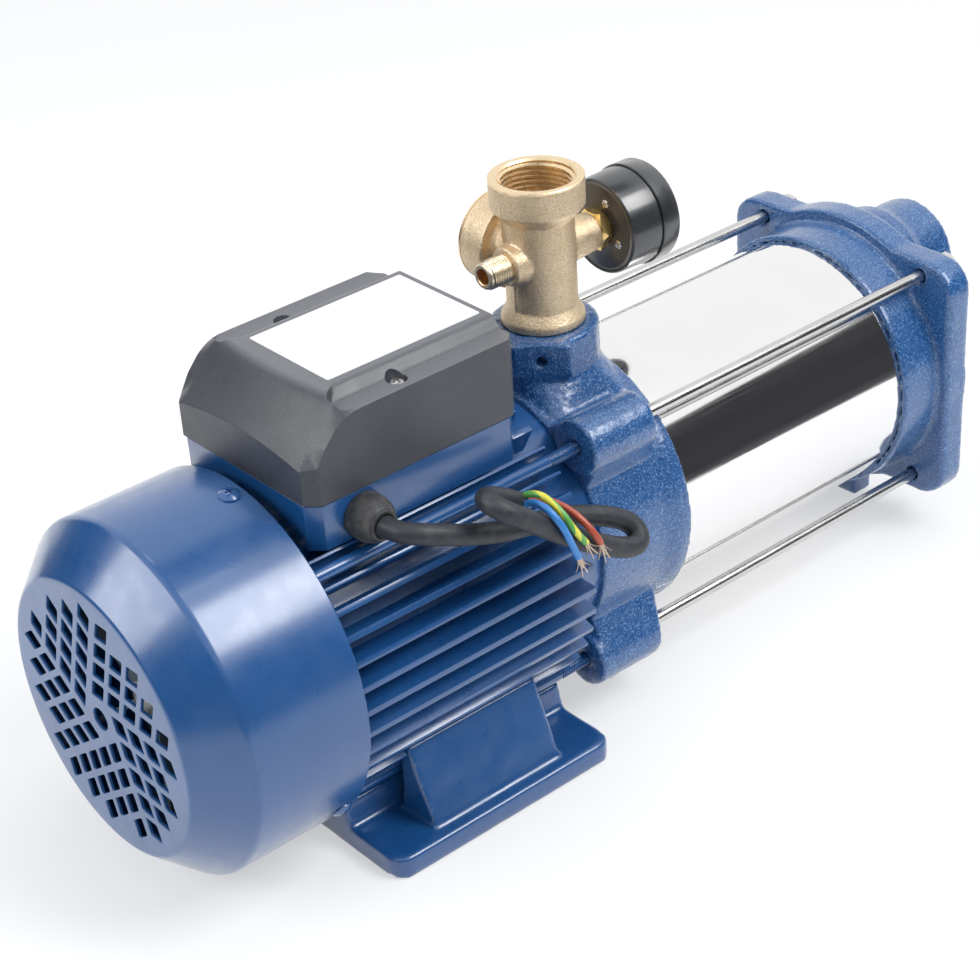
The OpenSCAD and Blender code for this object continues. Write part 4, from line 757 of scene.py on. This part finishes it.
wall_top = [(-58, 176), (-55.25, 176.8), (-52.7, 178.6), (-51.3, 180.9), (-50, 183.2), (-48.4, 185.9),
            (-46.9, 188), (-44.4, 190.7), (-41.6, 192.8), (-39.5, 194.2), (-37.4, 195.3), (-35, 196.2),
            (-32, 196.7), (-26, 197), (51, 197.5)]


lid_start_x, lid_side_y, lid_top_z, ramp_foot_z, lid_low = -58, 46, 201.0, 182.2, 162.4
crease_y, valley_y = 38.7, 29.2


def ramp_height(x, side):
    """Height of the lid's arched body, side mm from its middle."""
    run = x - lid_start_x
    return softer(ramp_foot_z - 0.0027 * side ** 2 + 0.9 * run + 0.008 * run ** 2, lid_top_z, 4)


def lid_height(x, y):
    """Height of the lid's top at x, y, in mm."""
    side = abs(y)
    body = ramp_height(x, side)
    if side > crease_y:
        share = (side - crease_y) / (lid_side_y - crease_y)
        strip = ramp_height(x, crease_y) * (1 - share) + between_points(x, wall_top) * share
        body = softer(body, strip + 0.2 * (1 - share), 0.4)
    slope = 200.9 - 4.9 * eased((side - valley_y) / 6.6)
    bed = slope + 0.014 * max(side - 36.5, 0) ** 1.9
    end = -39 + 5 * eased((36 - side) / 7) + 6 * (max(side - 42, 0) / 4) ** 2
    valley = bed + 7 * max((end + 3.4 - x) / 3.4, 0) ** 1.6
    return body if side < valley_y else softer(body, valley, 0.5)


bm = bmesh.new()
bmesh.ops.create_grid(bm, x_segments=218, y_segments=184, size=0.5,
                      matrix=at(box_middle_x, 0, 190) @ Matrix.Diagonal((109 * mm, 92 * mm, 1, 1)))
for v in bm.verts:
    v.co.z = lid_height(v.co.x / mm, v.co.y / mm) * mm
for x, y, nx, ny in ((-55.25, -43.25, -1, -1), (-55.25, 43.25, -1, 1), (48.25, -43.25, 1, -1),
                     (48.25, 43.25, 1, 1)):
    bmesh.ops.bisect_plane(bm, geom=bm.verts[:] + bm.edges[:] + bm.faces[:], dist=0.0001 * mm,
                           plane_co=Vector((x, y, 0)) * mm, plane_no=Vector((nx, ny, 0)),
                           clear_outer=True)
side_edges = [e for e in bm.edges if e.is_boundary]
for drop in (0.4, 1.4):
    grown = bmesh.ops.extrude_edge_only(bm, edges=side_edges)["geom"]
    side_edges = only(grown, bmesh.types.BMEdge)
    for v in only(grown, bmesh.types.BMVert):
        v.co.z -= drop * mm
grown = bmesh.ops.extrude_edge_only(bm, edges=side_edges)["geom"]
foot_edges = only(grown, bmesh.types.BMEdge)
for v in only(grown, bmesh.types.BMVert):
    v.co.z = lid_low * mm
bmesh.ops.contextual_create(bm, geom=foot_edges)
bmesh.ops.recalc_face_normals(bm, faces=bm.faces)
top_rim = [e for e in bm.edges if e.is_manifold and e.calc_face_angle(0) > math.radians(38)
           and min(v.co.z for v in e.verts) > 170 * mm]
eased_edges(bm, top_rim, 0.35 * mm)
bm = carved(bm, filled(box_plan, [(160, 3), (170, 3), (180, 14), (188, 22)]))
for side in (-1, 1):
    well = turned(bmesh.new(), [(188, 0), (188, 4.1), (195.5, 4.1), (196.3, 4.6), (199, 4.7),
                                (199, 0)], 32, "Z", (lid_screw_x, side * lid_screw_y, 0))
    bm = carved(bm, sealed(well))
lid_plastic = Finish("lid plastic", (0.040, 0.044, 0.056), 0.42)
lid_plastic.set(coat_weight=0.5, coat_roughness=0.4)
dust = lid_plastic.between(lid_plastic.clouds(26 * mm, 6), 0.45, 0.8)
plain = lid_plastic.mixed(dust, (0.036, 0.040, 0.052), (0.050, 0.054, 0.068))
# Fine pale flecks are painted glints, a painted highlight on the plastic's grain.
painted_glints = lid_plastic.between(lid_plastic.clouds(0.5 * mm, 2), 0.62, 0.75)
# Painted light: the faces that look up are painted paler, a painted top light as if lit from above.
facing = wired(lid_plastic.tree, "ShaderNodeNewGeometry", {}).outputs["Normal"]
upward = wired(lid_plastic.tree, "ShaderNodeSeparateXYZ", {"Vector": facing})
painted_top_light = lid_plastic.between(upward.outputs["Z"], 0.8, 0.99)
plain = lid_plastic.mixed(painted_top_light, plain, (0.115, 0.12, 0.135))
lid_plastic.colour(lid_plastic.mixed(painted_glints, plain, (0.15, 0.155, 0.175)))
lid_plastic.sheen(12 * mm, 4, 0.38, 0.5)
lid_plastic.grain(0.6 * mm, 3, 0.09 * mm)
made("terminal_lid", bm, lid_plastic, ["terminal_box_lid"], sharp=35)


# Lid screws. Two zinc-plated cross-head screws at the bottom of their wells.
zinc = Finish("zinc-plated screws", (0.55, 0.55, 0.54), 0.34, 1.0)
zinc.sheen(1.5 * mm, 3, 0.26, 0.48)
zinc.blotches(2 * mm, 3, (0.42, 0.42, 0.42), (0.66, 0.66, 0.65))
zinc.grain(0.4 * mm, 2, 0.02 * mm)
lid_screw = cross_screw([(-42.6, 0), (-42.6, 1.95), (0, 1.95), (0, 3.6), (0.7, 3.6), (1.4, 3.2),
                         (2, 2.4), (2.4, 1.2), (2.5, 0)], 4.6, 0.9, 1.0, 3.5)
bm = bmesh.new()
for side in (-1, 1):
    add_copy(bm, lid_screw, at(lid_screw_x, side * lid_screw_y, 193.2)
             @ Matrix.Rotation(math.radians(20 + 15 * side), 4, "Z"))
made("lid_screw_pair", bm, zinc, ["lid_screws"], sharp=32)

# Rating plate. A thin white plate on the lid's raised middle, left bare.
plate_film = Finish("white plate film", (0.80, 0.815, 0.83), 0.4)
plate_film.set(coat_weight=0.2, coat_roughness=0.2)
plate_film.blotches(30 * mm, 3, (0.78, 0.795, 0.81), (0.82, 0.83, 0.84))
plate_film.sheen(14 * mm, 3, 0.36, 0.5)
plate_film.grain(3 * mm, 2, 0.02 * mm)
bm = block(bmesh.new(), (-30, -26, 200.95), (48, 26, 201.4))
upright = [e for e in bm.edges if abs(e.verts[0].co.z - e.verts[1].co.z) > 0.1 * mm]
eased_edges(bm, upright, 0.8 * mm)
made("rating_plate", bm, plate_film, ["nameplate"])


# Through bolts. Four long painted bolts that pull the rear shield to the pump head, with a
# rolled thread where they enter the head's lugs.
def threaded(bm, axis, start, length, radius, depth, pitch, inward=False, steps=32):
    """A rolled thread: a small wedge drawn round the axis as it climbs, closed at both ends."""
    along, out = directions[axis]
    crest = radius - depth if inward else radius + depth
    root = radius + 0.15 if inward else radius - 0.15
    base = Vector(start) * mm
    verts = [bm.verts.new(base + along * a * pitch * mm + out * r * mm)
             for a, r in ((-0.44, root), (-0.07, crest), (0.07, crest), (0.44, root))]
    edges = [bm.edges.new(p) for p in zip(verts, verts[1:] + verts[:1])]
    bmesh.ops.contextual_create(bm, geom=edges)
    turns = length / pitch
    result = bmesh.ops.spin(bm, geom=edges, cent=base, axis=along, dvec=along * (pitch * mm / steps),
                            angle=math.tau * turns, steps=round(steps * turns), use_merge=False,
                            use_duplicate=False)
    last = only(result["geom_last"], bmesh.types.BMEdge)
    bmesh.ops.contextual_create(bm, geom=last)


rod_places = [(sy * 50, 82 + sz * 54) for sy in (-1, 1) for sz in (-1, 1)]
bm = bmesh.new()
for y, z in rod_places:
    turned(bm, [(-84, 0), (-84, 3.0), (-83.4, 3.5), (-80.4, 3.6), (-80, 3.3), (-80, 2.85), (58, 2.85),
                (58.6, 2.6), (85.2, 2.6), (86, 2), (86, 0)], 32, "X", (0, y, z))
    threaded(bm, "X", (59.5, y, z), 25.5, 2.6, 0.36, 1.25)
sealed(bm)
bolt_paint = blue_paint("painted bolt", gloss=0.28)
made("through_bolt_set", bm, bolt_paint, ["through_bolts"])


# Outlet head. Grey iron cast in sand and painted gloss blue: the round body that carries the
# seal, four lugs for bolts and rods, and the neck that the brass fitting screws into.
bm = cast_skin(packed_copy("outlet_casting"), 1.1, 5, keep=0.8)
sand(bm, 7, 0.12)
sand(bm, 1.5, 0.24)
made("outlet_head", bm, cast_paint, ["outlet_casting"], sharp=70)

# Barrel. A stainless tube, polished to a mirror and held between the two heads.
mirror_steel = Finish("mirror steel", (0.89, 0.885, 0.885), 0.07, 1.0)
mirror_steel.blotches(40 * mm, 3, (0.87, 0.865, 0.865), (0.91, 0.905, 0.905))
streaks = mirror_steel.clouds(0.8 * mm, 3, mirror_steel.stretched(0.02, 1, 1))
mirror_steel.rough(mirror_steel.between(streaks, 0.3, 0.8, 0.05, 0.13))
mirror_steel.grain(60 * mm, 1, 0.05 * mm)
mirror_steel.relief(streaks, 0.002 * mm)
bm = turned(bmesh.new(), [(121.6, 60.1), (121.6, 61.3), (280.2, 61.3), (280.2, 60.1)], 192)
made("stainless_barrel", sealed(bm), mirror_steel, ["barrel"])

# Tie rods, nuts and washers. Plated steel rods clamp the barrel between the two heads.
rod_steel = Finish("plated rod steel", (0.66, 0.66, 0.66), 0.22, 1.0)
drawn = rod_steel.clouds(0.5 * mm, 3, rod_steel.stretched(0.03, 1, 1))
rod_steel.rough(rod_steel.between(drawn, 0.3, 0.8, 0.16, 0.34))
rod_steel.blotches(18 * mm, 4, (0.56, 0.56, 0.56), (0.72, 0.72, 0.71))
rod_steel.relief(drawn, 0.004 * mm)
bm = bmesh.new()
for y, z in rod_places:
    turned(bm, [(98, 0), (98, 2.9), (306, 2.9), (306.5, 2.55), (317.9, 2.55), (318.5, 2.0), (318.5, 0)],
           32, "X", (0, y, z))
    threaded(bm, "X", (307, y, z), 11, 2.55, 0.33, 1.0, steps=24)
made("tie_rod_set", sealed(bm), rod_steel, ["tie_rods"])


def hex_nut(across, height, bore):
    """A hexagon nut on Z with both faces chamfered, as one is forged and faced."""
    nut = bmesh.new()
    bmesh.ops.create_cone(nut, cap_ends=True, segments=6, radius1=across / math.sqrt(3) * mm,
                          radius2=across / math.sqrt(3) * mm, depth=height * mm,
                          matrix=Matrix.Translation((0, 0, height / 2 * mm)))
    far, near, chamfer, mouth = across / 2 * 1.19, across / 2 * 0.97, 0.14 * across, bore + 0.4
    faced = turned(bmesh.new(), [(0, 0), (0, near), (chamfer, far), (height - chamfer, far),
                                 (height, near), (height, 0)], 48, "Z", (0, 0, 0))
    nut = carved(nut, sealed(faced), "INTERSECT")
    drill = turned(bmesh.new(), [(-1, 0), (-1, mouth), (0, mouth), (0.4, bore), (height - 0.4, bore),
                                 (height, mouth), (height + 1, mouth), (height + 1, 0)], 32, "Z",
                   (0, 0, 0))
    return as_mesh(carved(nut, sealed(drill)))


nut_plate = Finish("bright plated nuts", (0.72, 0.72, 0.73), 0.16, 1.0)
nut_plate.sheen(2 * mm, 3, 0.1, 0.28)
nut_plate.blotches(3 * mm, 3, (0.62, 0.62, 0.63), (0.78, 0.78, 0.78))
nut_plate.grain(0.8 * mm, 2, 0.015 * mm)
nut = hex_nut(10, 5, 2.7)
bm = bmesh.new()
for k, (y, z) in enumerate(rod_places):
    add_copy(bm, nut, at(310.5, y, z) @ Matrix.Rotation(math.pi / 2, 4, "Y")
             @ Matrix.Rotation(k * 0.4, 4, "Z"))
    washer = turned(bmesh.new(), [(309.3, 3.1), (309.3, 5.8), (309.5, 6), (310.3, 6), (310.5, 5.8),
                                  (310.5, 3.1)], 32, "X", (0, y, z))
    add_copy(bm, as_mesh(sealed(washer)), Matrix())
made("tie_rod_nut_set", bm, nut_plate, ["tie_rod_nuts"])

# Inlet head. The second iron casting: a smooth collar over the barrel, a rough flange with the
# rod holes, the suction neck, the plug's boss and the small front foot.
bm = cast_skin(packed_copy("inlet_cover"), 1.2, 5, keep=0.8)
sand(bm, 8, 0.12, lambda p: eased((p.x / mm - 288) / 6))
sand(bm, 1.5, 0.2, lambda p: 0.2 + 0.8 * eased((p.x / mm - 288) / 6))
for v in bm.verts:
    v.co.x = min(v.co.x, 350.3 * mm)
    v.co.z = max(v.co.z, 0)
made("inlet_head", bm, cast_paint, ["inlet_cover"], sharp=70)

# Priming plug. A painted round plug in the boss beside the suction neck.
bm = turned(bmesh.new(), [(302.4, 0), (302.4, 6.4), (317.4, 6.4), (317.4, 9.1), (317.8, 9.5),
                          (319.8, 9.5), (320.4, 9.2), (327.2, 7.7), (328.0, 7.2), (328.3, 6.4),
                          (328.3, 0)], 48, "X", (0, -46, 118))
made("priming_plug_head", sealed(bm), smooth_paint, ["priming_plug"], sharp=40)


# Five-way fitting. Brass cast in sand and blasted matt, bored and threaded at the top and side
# ports; the parting line of its two mould halves still runs up the fan side.
cast_brass = Finish("cast brass", (0.82, 0.68, 0.46), 0.5, 1.0)
tarnish = cast_brass.clouds(9 * mm, 5)
tone = cast_brass.mixed(cast_brass.between(tarnish, 0.3, 0.7), (0.84, 0.67, 0.45), (0.94, 0.79, 0.58))
blasted = cast_brass.clouds(0.6 * mm, 2)
cast_brass.colour(cast_brass.mixed(cast_brass.between(blasted, 0.54, 0.36), tone, (0.66, 0.51, 0.34)))
cast_brass.sheen(2 * mm, 4, 0.46, 0.6)
cast_brass.relief(blasted, 0.16 * mm)
cast_brass.grain(2.4 * mm, 3, 0.14 * mm)
port_root = 16.5
bm = packed_copy("five_way_fitting")
for axis, centre, start, rim in (("Z", (104, 0, 0), 220, 236), ("Y", (104, 0, 200), 16, 30)):
    bore = turned(bmesh.new(), [(start, 0), (start, port_root + 0.4), (rim - 0.8, port_root + 0.4),
                                (rim - 0.8, 25), (rim + 1, 25), (rim + 1, 0)], 96, axis, centre)
    bm = carved(bm, sealed(bore))
nipple_stock = block(bmesh.new(), (60, -15, 185), (84.2, 15, 215))
bm = cast_skin(carved(bm, nipple_stock), 0.6, 1, keep=0.9)
for v in bm.verts:
    across = abs(v.co.y) / mm
    if v.co.x < 90 * mm and v.co.z > 176 * mm and across < 0.8:
        v.co.x -= 0.35 * mm * (1 - across / 0.8)
sand(bm, 3, 0.08)
made("brass_body", bm, cast_brass, ["five_way_fitting"], sharp=60)

# Port threads. The machined rims and the parallel threads inside the top and side ports, turned
# bright in the cast body.
cut_brass = Finish("machined brass", (0.92, 0.80, 0.60), 0.3, 1.0)
turning = cut_brass.clouds(0.3 * mm, 2, cut_brass.stretched(0.2, 0.2, 1))
cut_brass.rough(cut_brass.between(turning, 0.3, 0.7, 0.24, 0.38))
cut_brass.blotches(4 * mm, 3, (0.84, 0.64, 0.38), (0.94, 0.78, 0.55))
cut_brass.relief(turning, 0.006 * mm)
for piece, axis, centre, rim, bottom in (("top_port_thread", "Z", (104, 0, 0), 236, 219.9),
                                         ("side_port_thread", "Y", (104, 0, 200), 30, 15.9)):
    bm = turned(bmesh.new(), [(rim, 17.4), (rim, 20.1), (rim - 0.4, 20.6), (rim - 1.3, 20.6),
                              (rim - 1.3, 19), (bottom, 17.2), (bottom, port_root),
                              (rim - 0.8, port_root)], 96, axis, centre)
    first_turn = Vector(centre) + directions[axis][0] * (bottom + 1.6)
    threaded(sealed(bm), axis, first_turn, rim - bottom - 3.6, port_root, 1.3, 2.31, inward=True,
             steps=64)
    made(piece, sealed(bm), cut_brass, sharp=25)

# Nipple. A small male thread on the fitting's fan side, bright outside, with a coppery bore.
nipple_brass = Finish("nipple brass", (0.88, 0.76, 0.56), 0.36, 1.0)
across = nipple_brass.stretched(0, 10, 10, shift=(0, 0, -2))
from_axis = wired(nipple_brass.tree, "ShaderNodeTexGradient", {"Vector": across},
                  gradient_type="SPHERICAL")
in_bore = nipple_brass.between(from_axis.outputs["Fac"], 0.96, 0.963)
silvery = nipple_brass.mixed(nipple_brass.clouds(2 * mm, 3), (0.84, 0.70, 0.48), (0.92, 0.84, 0.70))
nipple_brass.colour(nipple_brass.mixed(in_bore, silvery, (0.92, 0.62, 0.36)))
nipple_brass.sheen(1.5 * mm, 3, 0.3, 0.46)
nipple_brass.grain(0.8 * mm, 2, 0.01 * mm)
gauge_axis = (0, 0, 200)
bm = turned(bmesh.new(), [(71.6, 3.9), (71.6, 5.1), (72.3, 5.75), (84.5, 5.75), (84.5, 3.5), (72, 3.5)],
            48, "X", gauge_axis)
threaded(sealed(bm), "X", (73.4, 0, 200), 10, 5.75, 0.7, 1.34, steps=40)
made("nipple_thread", sealed(bm), nipple_brass, sharp=25)

# Gauge socket. The gauge's own brass hexagon, screwed into the fitting's suction side.
socket_brass = Finish("golden brass", (0.75, 0.52, 0.17), 0.24, 1.0)
socket_brass.sheen(3 * mm, 3, 0.24, 0.34)
socket_brass.blotches(3 * mm, 3, (0.86, 0.58, 0.18), (0.96, 0.72, 0.32))
socket_brass.grain(3 * mm, 2, 0.004 * mm)
bm = bmesh.new()
add_copy(bm, hex_nut(17, 5.7, 4), at(133, 0, 200) @ Matrix.Rotation(math.pi / 2, 4, "Y"))
turned(bm, [(123, 0), (123, 5.8), (133.4, 5.8), (133.4, 0)], 40, "X", gauge_axis)
turned(bm, [(138.3, 0), (138.3, 5.4), (144, 5.4), (144, 3.2), (157.1, 3.2), (157.1, 0)], 40, "X",
       gauge_axis)
block(bm, (143.7, -4, 186), (147.4, 4, 203))
made("gauge_hexagon", sealed(bm), socket_brass, ["gauge_socket"], sharp=25)


# Gauge. A black lacquered steel can with a rolled bezel, screwed on by its brass hexagon. Three
# small screws in its back hold what is inside.
case_black = Finish("gauge case paint", (0.022, 0.024, 0.029), 0.34)
case_black.set(coat_weight=1.0, coat_roughness=0.17)
case_black.blotches(8 * mm, 4, (0.018, 0.020, 0.024), (0.030, 0.033, 0.039))
case_black.sheen(4 * mm, 4, 0.28, 0.44)
case_black.grain(0.8 * mm, 3, 0.015 * mm)
bm = turned(bmesh.new(), [(138.7, 5.95), (138.7, 17.6), (138.95, 18.3), (138.95, 19.6), (138.7, 20.2),
                          (138.8, 20.9), (139.3, 21.45), (140.2, 21.7), (155.2, 22.2), (155.7, 21.8),
                          (155.7, 20.1), (140.3, 20.0), (140.3, 5.95)], 96, "X", gauge_axis)
made("gauge_can", sealed(bm), case_black, ["gauge_case"], sharp=28)
bm = turned(bmesh.new(), [(155.9, 21), (155.9, 22.6), (156.3, 23), (164.6, 23), (165.4, 22.6),
                          (165.7, 21.8), (165.7, 19.6), (165.3, 19.1), (164.2, 19.1), (164.2, 21)],
            96, "X", gauge_axis)
made("gauge_ring", sealed(bm), case_black, ["gauge_bezel"], sharp=28)
back_screw = cross_screw([(-4, 0), (-4, 1.3), (0, 1.3), (0, 1.9), (0.4, 1.9), (0.8, 1.5), (0.95, 0.8),
                          (1, 0)], 2.6, 0.5, 0.35, 2)
bm = bmesh.new()
for angle in (66, 201, 291):
    add_copy(bm, back_screw, at(138.7, 0, 200) @ Matrix.Rotation(math.radians(angle), 4, "X")
             @ Matrix.Translation((0, 0, -13 * mm)) @ Matrix.Rotation(-math.pi / 2, 4, "Y")
             @ Matrix.Rotation(0.6, 4, "Z"))
made("gauge_screw_set", bm, nut_plate, ["gauge_back_screws"], sharp=32)

# Dial. A white lacquered disc with a printed scale from 0 to 10 in plain numbers, turned clockwise
# from the lower left to the lower right as seen from the suction end.
dial_front = 158.0
scale_start, scale_sweep, scale_top, scale_r, number_r = -135, 270, 10, 18.4, 12.4


def turned_to(degrees):
    """Turns a shape that points straight up clockwise round the gauge's axis, seen from +X."""
    return at(*gauge_axis) @ Matrix.Rotation(-math.radians(degrees), 4, "X")


dial_white = Finish("dial lacquer", (0.80, 0.80, 0.78), 0.35)
dial_white.blotches(12 * mm, 3, (0.77, 0.77, 0.74), (0.82, 0.82, 0.80))
dial_white.sheen(3 * mm, 3, 0.3, 0.45)
dial_white.grain(1.5 * mm, 3, 0.01 * mm)
bm = turned(bmesh.new(), [(157.2, 1.5), (157.2, 20.5), (157.35, 20.7), (157.85, 20.7),
                          (dial_front, 20.5), (dial_front, 1.5)], 96, "X", gauge_axis)
made("dial_disc", sealed(bm), dial_white, ["gauge_dial"])

ink = Finish("dial ink", (0.02, 0.02, 0.022), 0.5)
ink.blotches(0.7 * mm, 3, (0.014, 0.014, 0.016), (0.03, 0.03, 0.032))
ink.sheen(0.5 * mm, 3, 0.42, 0.6)
ink.grain(0.3 * mm, 2, 0.004 * mm)
bm = bmesh.new()
for step in range(scale_top * 5 + 1):
    major = step % 5 == 0
    long, wide = (3.0, 0.5) if major else (1.6, 0.22)
    tick = block(bmesh.new(), (dial_front - 0.05, -wide / 2, scale_r - long),
                 (dial_front + 0.04, wide / 2, scale_r))
    add_copy(bm, as_mesh(tick), turned_to(scale_start + scale_sweep * step / (scale_top * 5)))
for number in range(0, scale_top + 1, 2):
    words = bpy.data.curves.new("number", "FONT")
    words.body = str(number)
    words.size = 3.6 * mm
    words.align_x = "CENTER"
    words.align_y = "CENTER"
    words.extrude = 0.03 * mm
    turn = scale_start + scale_sweep * number / scale_top
    spot = turned_to(turn) @ Vector((dial_front * mm, 0, number_r * mm))
    add_copy(bm, mesh_of(words), Matrix.Translation(spot) @ Matrix.Rotation(math.pi / 2, 4, "Z")
             @ Matrix.Rotation(math.pi / 2, 4, "X"))
made("dial_scale", sealed(bm), ink)

# Pointer. A thin black needle riveted on the movement's spindle, at its stop by the nought.
needle_black = Finish("needle enamel", (0.02, 0.02, 0.022), 0.35)
needle_black.blotches(2 * mm, 3, (0.016, 0.016, 0.018), (0.03, 0.03, 0.033))
needle_black.sheen(1 * mm, 3, 0.28, 0.45)
needle_black.grain(0.6 * mm, 2, 0.005 * mm)
bm = bmesh.new()
blade = bmesh.new()
outline = [(-1.4, -4), (1.4, -4), (1.1, 0), (0.4, 15), (-0.4, 15), (-1.1, 0)]
blade.faces.new([blade.verts.new(Vector((159.25, y, z)) * mm) for y, z in outline])
grown = bmesh.ops.extrude_face_region(blade, geom=list(blade.faces))["geom"]
bmesh.ops.translate(blade, verts=only(grown, bmesh.types.BMVert), vec=(0.5 * mm, 0, 0))
add_copy(bm, as_mesh(sealed(blade)), turned_to(scale_start))
turned(bm, [(154.3, 0), (154.3, 1.1), (159.1, 1.15), (159.1, 2.3), (160, 2.3), (160.2, 2.0),
            (160.2, 0)], 40, "X", gauge_axis)
made("gauge_needle", sealed(bm), needle_black, ["gauge_pointer"], body="pointer")

# Window. A flat disc of glass that the bezel holds over the dial.
window_glass = Finish("window glass", (0.97, 0.98, 0.98), 0.03)
window_glass.set(transmission_weight=1.0, ior=1.5)
window_glass.sheen(10 * mm, 3, 0.01, 0.05)
window_glass.grain(14 * mm, 2, 0.01 * mm)
bm = turned(bmesh.new(), [(162.1, 0), (162.1, 20.6), (162.3, 20.85), (163.9, 20.85), (164.1, 20.6),
                          (164.1, 0)], 96, "X", gauge_axis)
made("gauge_window", sealed(bm), window_glass, ["gauge_glass"])


# Inside parts. None of these shows with the pump closed, but each has its own finish for when it
# is taken apart. They keep the shapes they were packed with.
def finished(finish, *nodes):
    """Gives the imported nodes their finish."""
    for node in nodes:
        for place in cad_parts[node].material_slots:
            place.material = finish.material


def worked(name, dark, pale, roughness, grain, depth, metallic=0.0):
    """A plain finish with blotches between two tones, uneven gloss and a fine grain."""
    finish = Finish(name, pale, roughness, metallic)
    tone = finish.between(finish.clouds(grain * 8, 4), 0.3, 0.7)
    finish.colour(finish.mixed(tone, dark, pale))
    finish.sheen(grain * 3, 3, roughness * 0.8, roughness * 1.25)
    finish.grain(grain, 3, depth)
    return finish


# Fan, rear shield and bearings. A moulded fan on the shaft's end, a cast shield painted with the
# motor that it closes, and two shielded ball bearings of ground steel.
finished(worked("fan plastic", (0.11, 0.14, 0.17), (0.16, 0.20, 0.24), 0.5, 3 * mm, 0.02 * mm),
         "cooling_fan")
finished(smooth_paint, "rear_shield")
finished(worked("ground steel", (0.52, 0.52, 0.53), (0.66, 0.66, 0.67), 0.2, 0.6 * mm, 0.004 * mm, 1.0),
         "rear_bearing_outer", "rear_bearing_inner", "front_bearing_outer", "front_bearing_inner")

# Stator, windings and rotor. Stacked steel laminations, which show as fine rings along the shaft,
# with varnished copper wire wound through the stator.
for name, node, dark, pale in (
        ("stator laminations", "stator_core", (0.20, 0.20, 0.21), (0.34, 0.34, 0.35)),
        ("rotor laminations", "rotor_core", (0.26, 0.25, 0.24), (0.42, 0.41, 0.40))):
    stack = worked(name, dark, pale, 0.42, 1.2 * mm, 0.01 * mm, 1.0)
    stack.relief(stack.bands(320), 0.06 * mm)
    finished(stack, node)
varnish = worked("varnished copper wire", (0.42, 0.16, 0.06), (0.66, 0.30, 0.13), 0.3, 1.6 * mm,
                 0.1 * mm, 1.0)
varnish.set(coat_weight=0.5, coat_roughness=0.1)
varnish.relief(varnish.bands(260, 2), 0.3 * mm)
finished(varnish, "stator_windings")

# Shaft and fixings. A turned stainless shaft with its end nut, and zinc-plated screws under the
# foot and inside the terminal box.
turned_steel = worked("turned stainless", (0.55, 0.54, 0.52), (0.70, 0.69, 0.67), 0.24, 0.7 * mm,
                      0.004 * mm, 1.0)
lathe_marks = turned_steel.clouds(0.25 * mm, 2, turned_steel.stretched(1, 0.05, 0.05))
turned_steel.relief(lathe_marks, 0.008 * mm)
finished(turned_steel, "shaft", "shaft_nut")
finished(zinc, "box_screws", "foot_screws")

# Terminal block and capacitor. A pale moulded block for the cores and a capsule in a plain sleeve.
finished(worked("block plastic", (0.55, 0.53, 0.48), (0.68, 0.66, 0.61), 0.45, 1 * mm, 0.02 * mm),
         "terminal_block")
finished(worked("capacitor sleeve", (0.16, 0.17, 0.18), (0.26, 0.27, 0.28), 0.35, 1.4 * mm, 0.015 * mm),
         "capacitor")

# Seals. A rubber slinger and barrel rings, and a ceramic seat that a rubber-cased head rubs on.
finished(worked("black rubber", (0.016, 0.016, 0.017), (0.034, 0.034, 0.036), 0.62, 0.8 * mm, 0.03 * mm),
         "slinger", "seal_head", "barrel_o_rings")
finished(worked("seal ceramic", (0.74, 0.72, 0.68), (0.84, 0.82, 0.79), 0.18, 1 * mm, 0.003 * mm),
         "seal_seat")

# Stages. Five moulded impellers turn between five diffusers of a slightly greyer plastic.
wheel_plastic = worked("impeller plastic", (0.56, 0.54, 0.49), (0.69, 0.67, 0.62), 0.4, 1.2 * mm,
                       0.02 * mm)
guide_plastic = worked("diffuser plastic", (0.46, 0.46, 0.44), (0.60, 0.60, 0.57), 0.5, 1 * mm,
                       0.03 * mm)
for number in range(1, 6):
    finished(wheel_plastic, "impeller_" + str(number))
    finished(guide_plastic, "diffuser_" + str(number))

# Bourdon tube. The curled brass tube behind the dial that straightens as the pressure rises.
finished(worked("drawn brass", (0.58, 0.42, 0.20), (0.74, 0.57, 0.30), 0.28, 0.8 * mm, 0.006 * mm, 1.0),
         "bourdon_tube")

bpy.context.view_layer.update()
